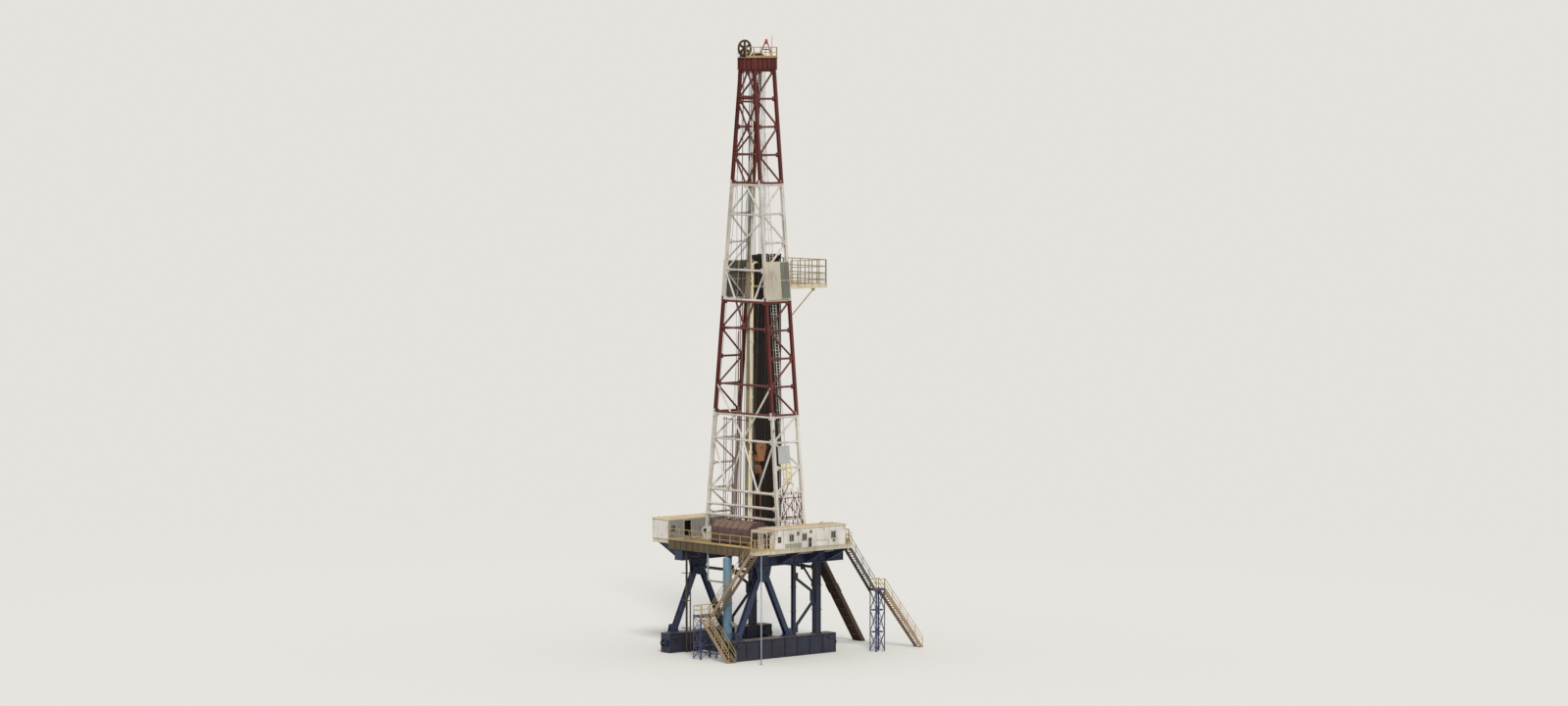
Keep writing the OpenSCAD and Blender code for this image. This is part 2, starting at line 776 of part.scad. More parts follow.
// An upright vessel under the floor's rearmost beam, with a vent neck that is clamped to the beam
module separator_vessel() {
    cap_h = vessel_r / 2;
    color("#7d9ab5")
        translate([-rim_in_rear + beam_w / 2, -vessel_y, 0]) {
            cylinder(h = vessel_h - cap_h, r = vessel_r, $fn = 48);
            translate([0, 0, vessel_h - cap_h])
                cylinder(h = cap_h, r1 = vessel_r, r2 = vessel_r * 0.6, $fn = 48);
            translate([0, 0, vessel_h - 1]) cylinder(h = beam_z - vessel_h + 1, r = beam_w * 0.45, $fn = 32);
        }
}

// The part of a drawing in the X-Z plane that lies in one slanting side of the mast
module in_side(s, z0, z1, inset, t) {
    intersection() {
        along_y(-mast_foot_w, mast_foot_w) children();
        along_x(-mast_foot_w, mast_foot_w)
            polygon([[s * (half_w(z0) - inset), z0], [s * (half_w(z0) - inset - t), z0],
                     [s * (half_w(z1) - inset - t), z1], [s * (half_w(z1) - inset), z1]]);
    }
}

// The part of a drawing in the X-Z plane above one height
module above(z) {
    intersection() {
        children();
        translate([-big, z]) square([2 * big, big]);
    }
}

// One flat side of one mast section: two legs, level bars and zigzag braces
module mast_side(s, i) {
    z0 = section_z[i];
    z1 = section_z[i + 1];
    n = section_panels[i];
    foot = i == 0 ? z0 + shoe_h + seam : z0;
    inset = (mast_leg - brace_t) / 2;
    color(i % 2 == 0 ? "#c9c2b0" : "#6e1f22") {
        in_side(s, z0, z1, 0, mast_leg) above(foot) {
            polygon([[rear_leg_x(z0) - mast_leg / 2, z0], [rear_leg_x(z0) + mast_leg / 2, z0],
                     [rear_leg_x(z1) + mast_leg / 2, z1], [rear_leg_x(z1) - mast_leg / 2, z1]]);
            polygon([[front_leg_x(z0) - mast_leg / 2, z0], [front_leg_x(z0) + mast_leg / 2, z0],
                     [front_leg_x(z1) + mast_leg / 2, z1], [front_leg_x(z1) - mast_leg / 2, z1]]);
        }
        in_side(s, z0, z1, inset, brace_t) above(foot) {
            for (k = [0:n]) {
                z = max(mix(z0 + girt_w / 2, z1 - girt_w / 2, k / n), foot + girt_w / 2);
                bar([rear_leg_x(z), z], [front_leg_x(z), z], girt_w);
            }
            for (k = [0:n - 1]) {
                za = mix(z0, z1, k / n);
                zb = mix(z0, z1, (k + 1) / n);
                if ((n - k) % 2 == 1) bar([rear_leg_x(za), za], [front_leg_x(zb), zb], diag_w);
                else bar([front_leg_x(za), za], [rear_leg_x(zb), zb], diag_w);
            }
        }
        if (i == 0)
            for (x = [rear_leg_x(z0), front_leg_x(z0)]) {
                y = s * (half_w(z0) - mast_leg / 2);
                block([x - shoe_w / 2, y - shoe_w / 2, z0], [x + shoe_w / 2, y + shoe_w / 2, z0 + shoe_h]);
            }
    }
}

// One section of the open back, fitted between the rear legs
module mast_back(i) {
    z0 = section_z[i];
    z1 = section_z[i + 1];
    foot = i == 0 ? z0 + shoe_h : z0;
    color(i % 2 == 0 ? "#d8d2c0" : "#6e1f22")
        intersection() {
            along_x(-mast_foot_w, mast_foot_w)
                intersection() {
                    union() {
                        for (z = concat([foot + girt_w / 2, z1 - girt_w / 2], back_girts))
                            translate([-half_w(z), z - girt_w / 2]) square([2 * half_w(z), girt_w]);
                        for (b = back_braces)
                            bar([b[0] * (half_w(b[1]) - mast_leg / 2), b[1]],
                                [b[2] * (half_w(b[3]) - mast_leg / 2), b[3]], diag_w);
                    }
                    polygon([[-half_w(z0) + mast_leg, z0], [half_w(z0) - mast_leg, z0],
                             [half_w(z1) - mast_leg, z1], [-half_w(z1) + mast_leg, z1]]);
                }
            along_y(-mast_foot_w, mast_foot_w)
                polygon([[rear_leg_x(z0) - brace_t / 2, z0], [rear_leg_x(z0) + brace_t / 2, z0],
                         [rear_leg_x(z1) + brace_t / 2, z1], [rear_leg_x(z1) - brace_t / 2, z1]]);
        }
}

// A ladder against the inner face of the right side's bars
module mast_ladder() {
    inset = (mast_leg + brace_t) / 2 + face_gap;
    t = 50;
    rungs = floor((mast_top - floor_top) / rung_pitch);
    color("#d8d2c0")
        in_side(-1, floor_top, mast_top, inset, t) {
            for (x = [-ladder_w / 2, ladder_w / 2 - rail_w])
                translate([x - ladder_w, floor_top]) square([rail_w, mast_top - floor_top]);
            for (i = [1:rungs])
                translate([-ladder_w * 1.5, floor_top + (i - 0.5) * rung_pitch])
                    square([ladder_w, rail_w * 0.8]);
        }
}

// The mud riser, clamped to the inner face of the back
module standpipe() {
    r = 60;
    top = wind_high;
    low_x = rear_leg_x(floor_top) + brace_t / 2 + face_gap;
    top_x = rear_leg_x(top) + brace_t / 2 + face_gap;
    color("#d8cfae")
        translate([0, -standpipe_y, 0]) along_y(-r, r) {
            polygon([[low_x, floor_top], [low_x + 2 * r, floor_top], [top_x + 2 * r, top], [top_x, top]]);
            translate([top_x, top - 2 * r]) square([6 * r, 2 * r]);
        }
}

module crown_frame() {
    w = crown_beam_w;
    bearing_y = plate_in + w / 4;
    color("#5f1c1e") {
        difference() {
            block([-crown_x, -crown_y, mast_top], [crown_x, crown_y, crown_z]);
            block([-crown_x + w, -crown_y + w, mast_top - 10], [crown_x - w, crown_y - w, crown_z + 10]);
        }
        for (s = [-1, 1])
            block([-crown_x + w - 1, s * bearing_y - w / 4, mast_top],
                  [crown_x - w + 1, s * bearing_y + w / 4, axle_z - 2 * axle_r]);
    }
}

// A row of sheaves on one axle, which lies along Y through the origin
module sheave_row(half_axle) {
    rotate([90, 0, 0]) {
        translate([0, 0, -half_axle]) cylinder(h = 2 * half_axle, r = axle_r, $fn = 32);
        for (i = [0:sheave_n - 1])
            translate([0, 0, (i - (sheave_n - 1) / 2) * sheave_pitch - sheave_t / 2])
                cylinder(h = sheave_t, r = sheave_r, $fn = 64);
    }
}

// The crown sheaves with their bearings, and the fast line sheave in its stand
module crown_sheaves() {
    w = crown_beam_w;
    bearing_y = plate_in + w / 4;
    color("#3a2a22") {
        translate([0, 0, axle_z]) sheave_row(bearing_y + w / 4);
        for (s = [-1, 1])
            block([-1.5 * axle_r, s * bearing_y - w / 4, axle_z - 2 * axle_r],
                  [1.5 * axle_r, s * bearing_y + w / 4, axle_z + 1.3 * axle_r]);
        translate([fast_x, fast_y, crown_z + fast_sheave_r + 20]) rotate([90, 0, 0]) {
            translate([0, 0, -sheave_t / 2]) difference() {
                cylinder(h = sheave_t, r = fast_sheave_r, $fn = 64);
                for (a = [0:60:300])
                    rotate(a) translate([fast_sheave_r * 0.55, 0, -10])
                        cylinder(h = sheave_t + 20, r = fast_sheave_r * 0.2, $fn = 24);
            }
            translate([0, 0, -90]) cylinder(h = 180, r = axle_r * 0.7, $fn = 32);
        }
        for (s = [-1, 1]) fast_stand_leg(s);
    }
}

// One leg of the stand that holds the fast line sheave
module fast_stand_leg(s) {
    along_y(fast_y + s * 75 - 15, fast_y + s * 75 + 15)
        polygon([[fast_x - stand_w / 2, crown_z], [fast_x + stand_w / 2, crown_z],
                 [fast_x + 70, crown_z + fast_sheave_r + 80], [fast_x - 70, crown_z + fast_sheave_r + 80]]);
}

module crown_rails() {
    in = rail_w / 2;
    post_x = crown_x - 2.5 * crown_beam_w;
    color("#8a7c4a")
        translate([0, 0, crown_z]) {
            translate([-crown_x, -crown_y + in, 0]) rail_run(2 * crown_x, crown_rail_h);
            translate([crown_x - in, -crown_y, 0]) rotate(90) rail_run(2 * crown_y, crown_rail_h);
            translate([-crown_x + in, -crown_y, 0]) rotate(90) rail_run(crown_y, crown_rail_h);
            block([post_x, -crown_y, 0], [post_x + rail_w, -crown_y + rail_w, crown_post_h]);
        }
}

module gin_frame() {
    w = 70;
    tie_z = crown_z + gin_h * 0.45;
    color("#a8442e")
        along_x(crown_x - gin_set - w / 2, crown_x - gin_set + w / 2)
            intersection() {
                union() {
                    bar([-crown_y + w, crown_z], [-100, crown_z + gin_h - w / 2], w);
                    bar([crown_y - 2 * w, crown_z], [-100, crown_z + gin_h - w / 2], w);
                    bar([-crown_y * 0.62, tie_z], [crown_y * 0.45, tie_z], w);
                }
                translate([-crown_y, crown_z]) square([2 * crown_y, gin_h]);
            }
}

// The board: an outer frame, a walkway in the middle, and fingers on both sides
module racking_board() {
    half = board_w / 2;
    f = row_pitch - 2 * pipe_r - 40;
    color("#9a8d5c") {
        difference() {
            block([board_rear, -half, board_z], [board_front, half, board_z + board_t]);
            block([board_rear + board_t, -half + board_t, board_z - 10],
                  [board_front - board_t, half - board_t, board_z + board_t + 10]);
        }
        block([board_rear + 1, -walk_half, board_z], [board_front - 1, walk_half, board_z + board_t]);
        for (i = [0:row_n]) {
            x = pipe_x0 + (i - 0.5) * row_pitch;
            for (y = [-half + 1, walk_half])
                block([x - f / 2, y, board_z], [x + f / 2, y + half - 1 - walk_half, board_z + board_t]);
        }
    }
}

// Guard frames on the two sides and the front of the board
module guard_panel(l) {
    n = 5;
    for (i = [0:n]) translate([i * (l - rail_w * 2) / n, 0]) square([rail_w * 2, guard_h]);
    for (k = [1:4]) translate([0, k * guard_h / 4 - rail_w * 1.5]) square([l, rail_w * 1.5]);
}

module board_guard() {
    half = board_w / 2;
    l = board_front - board_rear;
    z = board_z + board_t;
    color("#8f8350") {
        for (y = [-half + rail_w, half - rail_w])
            translate([board_rear, 0, z]) along_y(y - rail_w, y + rail_w) guard_panel(l);
        translate([0, -half + 2 * rail_w + 5, z]) rotate(90)
            along_y(-board_front, -board_front + 2 * rail_w) guard_panel(2 * half - 4 * rail_w - 10);
    }
}

// Flat panels against the outer faces of the mast beside the racking board
module wind_walls() {
    color("#bdb9ac")
        for (s = [-1, 1])
            in_side(s, wind_low, wind_high, -wind_t - face_gap, wind_t) {
                x0 = rear_leg_x(wind_low) - mast_leg / 2;
                x1 = front_leg_x(wind_high) + mast_leg / 2 - face_gap;
                translate([x0, wind_low]) square([x1 - x0, wind_high - wind_low]);
            }
}

// Slanting struts from the mast's front legs out to the board
module board_braces() {
    w = strut_w;
    foot = board_z - strut_drop;
    low = foot - 4 * w;
    face = mast_leg / 2 + face_gap;
    reach = board_front - strut_set;
    edge = (board_w - board_t) / 2 + w / 7;
    color("#8a7c4a")
        for (s = [-1, 1])
            along_y(s * edge - w / 2, s * edge + w / 2)
                intersection() {
                    bar([front_leg_x(foot) + face - w * 10 / 7, foot - w * 8 / 7],
                        [reach, board_z + w * 0.7], w);
                    polygon([[front_leg_x(low) + face, low], [board_front, low], [board_front, board_z],
                             [front_leg_x(board_z) + face, board_z]]);
                }
}

// Racked pipe, standing on a mat on the drill floor
module pipe_stands() {
    mat_t = 50;
    color("#4a3c34") {
        block([pipe_x0 - 80, pipe_y0 - 80, floor_top],
              [pipe_x0 + (row_n - 1) * row_pitch + 80, pipe_y0 + (pipe_n - 1) * pipe_pitch + 80,
               floor_top + mat_t]);
        for (i = [0:row_n - 1])
            for (k = [0:pipe_n - 1])
                translate([pipe_x0 + i * row_pitch, pipe_y0 + k * pipe_pitch, floor_top + mat_t - 5])
                    cylinder(h = pipe_top - floor_top - mat_t + 5, r = pipe_r, $fn = 6);
    }
}

// Two side plates, the sheaves between them and a yoke below
module travelling_block() {
    color("#b0572a")
        translate([0, 0, block_z]) {
            sheave_row(plate_in + block_plate_t);
            for (s = [-1, 1]) {
                y = s * (plate_in + block_plate_t / 2);
                translate([0, y + block_plate_t / 2, 0])
                    rotate([90, 0, 0]) cylinder(h = block_plate_t, r = sheave_r + 40, $fn = 64);
                block([-200, y - block_plate_t / 2, -block_l], [200, y + block_plate_t / 2, 0]);
            }
            block([-200, -plate_in - block_plate_t, -block_l],
                  [200, plate_in + block_plate_t, -sheave_r - 40]);
        }
}

// The hook under the block, its two links and the elevator that grips the pipe
module hook_and_links() {
    top = block_z - block_l;
    low = top - hook_l;
    out = link_y + link_w / 2;
    pin_w = link_w * 7 / 3;
    color("#8a5a34") {
        translate([0, 0, top - hook_stem]) cylinder(h = hook_stem, r = hook_stem * 0.4, $fn = 32);
        block([-hook_w / 2, -hook_d / 2, low], [hook_w / 2, hook_d / 2, top - hook_stem]);
        block([-pin_w / 2, -out, low + 1.5 * link_w], [pin_w / 2, out, low + 3.5 * link_w]);
        for (s = [-1, 1])
            block([-link_w / 2, s * link_y - link_w / 2, elevator_z + elevator_h / 2],
                  [link_w / 2, s * link_y + link_w / 2, low + 3 * link_w]);
        translate([0, 0, elevator_z]) difference() {
            union() {
                cylinder(h = elevator_h, r = elevator_r, $fn = 48);
                block([-link_w, -out, 0], [link_w, out, elevator_h]);
            }
            translate([0, 0, -10]) cylinder(h = elevator_h + 20, r = elevator_bore, $fn = 48);
        }
    }
}

module hoist_lines() {
    color("#2b2724")
        for (i = [0:sheave_n - 1])
            for (s = [-1, 1])
                translate([s * line_x, (i - (sheave_n - 1) / 2) * sheave_pitch, block_z])
                    cylinder(h = axle_z - block_z, r = line_r, $fn = 6);
}

base_box(1);  // base_box_left
base_box(-1);  // base_box_right
base_spreaders();
side_frame(1);  // side_frame_left
side_frame(-1);  // side_frame_right
columns(1);  // columns_left
columns(-1);  // columns_right
cross_ties();
upper_box(1);  // upper_box_left
upper_box(-1);  // upper_box_right
floor_beams();
drill_floor();
floor_rim();
rotary_table();
handrails();
right_platform();
doghouse_walls();
doghouse_roof();
porch();
right_brackets();
left_platform();
cabin_walls();
cabin_roof();
left_brackets();
window_panes();
right_stair_upper();
right_landing();
right_stair_lower();
rear_stair_upper();
rear_landing();
rear_stair_lower();
v_door_ramp();
drawworks();
separator_vessel();
mast_side(1, 0);  // mast_1_left
mast_side(-1, 0);  // mast_1_right
mast_back(0);  // mast_1_back
mast_side(1, 1);  // mast_2_left
mast_side(-1, 1);  // mast_2_right
mast_back(1);  // mast_2_back
mast_side(1, 2);  // mast_3_left
mast_side(-1, 2);  // mast_3_right
mast_back(2);  // mast_3_back
mast_side(1, 3);  // mast_4_left
mast_side(-1, 3);  // mast_4_right
mast_back(3);  // mast_4_back
mast_ladder();
standpipe();
crown_frame();
crown_sheaves();
crown_rails();
gin_frame();
racking_board();
board_guard();
wind_walls();
board_braces();
pipe_stands();
travelling_block();
hook_and_links();
hoist_lines();
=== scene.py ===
import math
import random

import bmesh
import bpy
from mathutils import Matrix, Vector


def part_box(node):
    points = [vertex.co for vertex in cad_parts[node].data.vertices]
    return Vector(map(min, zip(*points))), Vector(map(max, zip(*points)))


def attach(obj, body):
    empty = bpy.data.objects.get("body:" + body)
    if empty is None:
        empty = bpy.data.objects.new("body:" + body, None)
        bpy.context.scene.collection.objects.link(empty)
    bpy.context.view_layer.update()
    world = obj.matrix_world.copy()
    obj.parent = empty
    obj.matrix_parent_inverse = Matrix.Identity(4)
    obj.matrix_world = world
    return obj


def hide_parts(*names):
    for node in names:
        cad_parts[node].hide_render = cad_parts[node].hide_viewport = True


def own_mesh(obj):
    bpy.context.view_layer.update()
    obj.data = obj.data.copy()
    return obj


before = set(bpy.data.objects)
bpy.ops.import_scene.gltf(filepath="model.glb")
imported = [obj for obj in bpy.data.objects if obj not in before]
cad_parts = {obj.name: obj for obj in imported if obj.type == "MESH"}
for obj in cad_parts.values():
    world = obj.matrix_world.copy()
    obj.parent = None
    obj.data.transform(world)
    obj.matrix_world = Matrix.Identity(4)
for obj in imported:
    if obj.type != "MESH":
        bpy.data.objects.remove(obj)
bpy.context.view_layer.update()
random.seed(41)

# Camera, seen from the photo's own place: about 246 m away in the model's scale, 30 m up, looking a
# little down. The lens is longer than the photo's by close_up, so that the rig fills the frame.
photo_w = 1600
photo_focal_px = 3100
photo_centre_px = (804, 380)
well_px, horizon_px = 787, 195
close_up = 1.6
camera_place = Vector((-159.7, -187.0, 29.85))

camera = bpy.data.objects.new("camera", bpy.data.cameras.new("camera"))
bpy.context.scene.collection.objects.link(camera)
bpy.context.scene.camera = camera
camera.location = camera_place
camera.data.sensor_width = 36
camera.data.lens = 36 * photo_focal_px * close_up / photo_w
camera.data.clip_start, camera.data.clip_end = 1, 3000
to_well = math.atan2(-camera_place.y, -camera_place.x)
turn = math.atan((photo_centre_px[0] - well_px) / photo_focal_px)
dip = math.atan((photo_centre_px[1] - horizon_px) / photo_focal_px)
to_rig = to_well - turn
look = Vector((math.cos(to_rig) * math.cos(dip), math.sin(to_rig) * math.cos(dip), -math.sin(dip)))
camera.rotation_mode = "QUATERNION"
camera.rotation_quaternion = look.to_track_quat("-Z", "Y")

# Floor and sky of the studio: a pale round floor that fades out into an even pale background, so that
# no horizon shows behind the mast. It keeps the rig's shadow.
backdrop = (0.78, 0.76, 0.72, 1)
floor_radius, fade_start = 75, 30


def add_nodes(tree, *kinds):
    return [tree.nodes.new("ShaderNode" + kind) for kind in kinds]


def link_nodes(tree, *pairs):
    for out_socket, in_socket in pairs:
        tree.links.new(out_socket, in_socket)


def studio_floor():
    material = bpy.data.materials.new("studio_floor")
    material.use_nodes = True
    tree = material.node_tree
    tree.nodes.clear()
    out, diffuse, clear = add_nodes(tree, "OutputMaterial", "BsdfDiffuse", "BsdfTransparent")
    blend, place, far, fade = add_nodes(tree, "MixShader", "TexCoord", "VectorMath", "MapRange")
    diffuse.inputs["Color"].default_value = backdrop
    far.operation = "LENGTH"
    fade.interpolation_type = "SMOOTHSTEP"
    fade.inputs["From Min"].default_value = fade_start
    fade.inputs["From Max"].default_value = floor_radius
    link_nodes(tree, (place.outputs["Object"], far.inputs[0]), (far.outputs["Value"], fade.inputs["Value"]),
               (fade.outputs["Result"], blend.inputs["Fac"]), (diffuse.outputs[0], blend.inputs[1]),
               (clear.outputs[0], blend.inputs[2]), (blend.outputs[0], out.inputs["Surface"]))
    return material


bpy.ops.mesh.primitive_circle_add(vertices=96, radius=floor_radius, fill_type="NGON",
                                  location=(0, 0, -0.002))
ground = bpy.context.object
ground.name = "studio_ground"
ground.data.materials.append(studio_floor())

# Soft studio light: an even sky and one large soft lamp from behind the camera's right shoulder, like
# the hazy high sun in the photo. The background behind the rig is the floor's own colour.
sky_light, lamp_light = 0.62, 2.1
lamp_from = Vector((-0.55, -0.80, 0.85))
lamp_softness = math.radians(14)
world = bpy.data.worlds.new("studio")
bpy.context.scene.world = world
world.use_nodes = True
tree = world.node_tree
tree.nodes.clear()
out, seen, lighting, path, glossy, through, pick = add_nodes(
    tree, "OutputWorld", "Background", "Background", "LightPath", "Math", "Math", "MixShader")
seen.inputs["Color"].default_value = backdrop
lighting.inputs["Color"].default_value = (0.93, 0.96, 1.0, 1)
lighting.inputs["Strength"].default_value = sky_light
glossy.operation = through.operation = "MAXIMUM"
rays = path.outputs
link_nodes(tree, (rays["Is Camera Ray"], glossy.inputs[0]), (rays["Is Glossy Ray"], glossy.inputs[1]),
           (glossy.outputs[0], through.inputs[0]), (rays["Is Transmission Ray"], through.inputs[1]),
           (through.outputs[0], pick.inputs["Fac"]), (lighting.outputs[0], pick.inputs[1]),
           (seen.outputs[0], pick.inputs[2]), (pick.outputs[0], out.inputs["Surface"]))

lamp = bpy.data.objects.new("soft_lamp", bpy.data.lights.new("soft_lamp", "SUN"))
bpy.context.scene.collection.objects.link(lamp)
lamp.data.energy = lamp_light
lamp.data.angle = lamp_softness
lamp.data.color = (1.0, 0.965, 0.91)
lamp.rotation_mode = "QUATERNION"
lamp.rotation_quaternion = (-lamp_from).to_track_quat("-Z", "Y")
bpy.context.scene.view_settings.view_transform = "Standard"

# Base boxes: two long welded boxes of dark blue plate that lie on the ground. The webs are set back
# between the flanges, with upright ribs every 0.85 m and pin lugs at both ends.
ahead, aside, upward = Vector((1, 0, 0)), Vector((0, 1, 0)), Vector((0, 0, 1))


def spaced(first, last, count):
    """Evenly spaced values, both ends among them."""
    return [first + (last - first) * i / (count - 1) for i in range(count)]


def arc(first, last, count, r, r2=None):
    """Points along an arc of a circle or an ellipse, between two angles in degrees."""
    turns = [math.radians(turn) for turn in spaced(first, last, count)]
    return [(r * math.cos(turn), (r if r2 is None else r2) * math.sin(turn)) for turn in turns]


def circle(count, r, start=0.0, r2=None):
    """Points evenly round a circle. start turns them by a share of one step."""
    step = 360 / count
    return arc(step * start, step * (count - 1 + start), count, r, r2)


def mirrored(middle, half):
    """A whole outline from one half, which is given as (distance from the middle, height)."""
    return [(middle + out, z) for out, z in half] + [(middle - out, z) for out, z in reversed(half)]


def band(inner, outer, low, high):
    """The section of a plain ring."""
    return [(inner, low), (outer, low), (outer, high), (inner, high)]


class Steel:
    """Gathers plates, bars and tubes and joins them into one mesh, which may stand for a CAD node."""

    def __init__(self, node=None):
        self.points, self.faces, self.node = [], [], node

    def skin(self, points, sides, closed=False):
        """Joins outlines of so many points each into a solid, with its ends capped or closed on itself."""
        first, count = len(self.points), len(points) // sides
        self.points += [tuple(p) for p in points]
        for i in range(count if closed else count - 1):
            here, there = first + i * sides, first + (i + 1) % count * sides
            for k in range(sides):
                m = (k + 1) % sides
                self.faces.append((here + k, here + m, there + m, there + k))
        if not closed:
            for end in (0, count - 1):
                self.faces.append(tuple(range(first + end * sides, first + (end + 1) * sides)))

    def box(self, a, b):
        """A box between two opposite corners."""
        (x0, x1), (y0, y1), heights = (sorted(pair) for pair in zip(a, b))
        self.skin([(x, y, z) for z in heights for x, y in ((x0, y0), (x1, y0), (x1, y1), (x0, y1))], 4)

    def block(self, x, y, half_x, half_y, z0, z1):
        """An upright block round a point."""
        self.box((x - half_x, y - half_y, z0), (x + half_x, y + half_y, z1))

    def bar(self, a, b, wide, deep, up=upward, lift=0.0):
        """A flat bar whose depth lies along up. lift moves it that way."""
        a, b = Vector(a), Vector(b)
        run = (b - a).normalized()
        side = run.cross(Vector(up))
        if side.length < 0.01:
            side = run.cross(ahead)
        side.normalize()
        top = side.cross(run)
        self.skin([end + side * i * wide / 2 + top * (lift + j * deep / 2)
                   for end in (a, b) for i, j in ((-1, -1), (1, -1), (1, 1), (-1, 1))], 4)

    def beam(self, a, b, wide, deep, plate, up=upward):
        """An H beam: two flanges and a web."""
        for way in (1, -1):
            self.bar(a, b, wide, plate, up, way * (deep - plate) / 2)
        self.bar(a, b, plate * 0.7, deep - 2 * plate, up)

    def bend(self, route, r, sides=8):
        """A round bar along a route. r is its radius, or a list with one for each point."""
        route = [Vector(p) for p in route]
        radii = r if isinstance(r, list) else [r] * len(route)
        side = (route[1] - route[0]).orthogonal().normalized()
        points = []
        for i, (p, radius) in enumerate(zip(route, radii)):
            run = (route[min(i + 1, len(route) - 1)] - route[max(i - 1, 0)]).normalized()
            side = (side - run * side.dot(run)).normalized()
            top = run.cross(side)
            points += [p + side * x + top * y for x, y in circle(sides, radius)]
        self.skin(points, sides)

    def tube(self, a, b, r, sides=10, r2=None):
        self.bend((a, b), [r, r if r2 is None else r2], sides)

    def pin(self, centre, half, r, sides=16):
        """A round pin along Y, given from its middle."""
        self.tube(Vector(centre) - aside * half, Vector(centre) + aside * half, r, sides)

    def plate(self, outline, axis, low, high):
        """A flat outline made thick along X, Y or Z."""
        at = "xyz".index(axis)
        self.skin([(*p[:at], t, *p[at:]) for t in (low, high) for p in outline], len(outline))

    def rim(self, low, high, wide):
        """Four flat sides round a plan."""
        (x0, y0, z0), (x1, y1, z1) = low, high
        for y in (y0, y1 - wide):
            self.box((x0, y, z0), (x1, y + wide, z1))
        for x in (x0, x1 - wide):
            self.box((x, y0 + wide, z0), (x + wide, y1 - wide, z1))

    def cheek(self, outline, y, thick):
        """A plate that stands along X, with the middle of its thickness at y."""
        self.plate(outline, "y", y - thick / 2, y + thick / 2)

    def ring(self, centre, axis, outline, sides=32):
        """A closed outline of (radius, place along the axis) turned round an axis."""
        centre, run = Vector(centre), Vector(axis).normalized()
        side = run.orthogonal().normalized()
        top = run.cross(side)
        points = []
        for x, y in circle(sides, 1):
            points += [centre + (side * x + top * y) * r + run * t for r, t in outline]
        self.skin(points, len(outline), closed=True)

    def done(self, name, material, bevel=0.0, slot=None, body="rig"):
        """Makes the piece. slot, given only where it isn't the material's usual one, is not used."""
        mesh = bpy.data.meshes.new(name)
        mesh.from_pydata(self.points, [], self.faces)
        mesh.validate()
        shell = bmesh.new()
        shell.from_mesh(mesh)
        bmesh.ops.recalc_face_normals(shell, faces=shell.faces)
        shell.to_mesh(mesh)
        shell.free()
        mesh.materials.append(material)
        mesh.polygons.foreach_set("use_smooth", [True] * len(mesh.polygons))
        mesh.set_sharp_from_angle(angle=math.radians(35))
        piece = bpy.data.objects.new(name, mesh)
        bpy.context.scene.collection.objects.link(piece)
        if bevel:
            edge = piece.modifiers.new("edges", "BEVEL")
            edge.width = bevel
            edge.segments = 1
            edge.limit_method = "ANGLE"
            edge.angle_limit = math.radians(50)
            edge.harden_normals = True
        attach(piece, body)
        if self.node:
            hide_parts(self.node)
        return piece


def begin(node):
    """The mesh for a CAD node, with the two corners of the node's box."""
    return Steel(node), *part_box(node)


def srgb(r, g, b):
    """A colour as it looks on a screen, 0 to 255, as a light value."""
    shares = (r / 255, g / 255, b / 255)
    return tuple(c / 12.92 if c <= 0.04045 else ((c + 0.055) / 1.055) ** 2.4 for c in shares) + (1,)


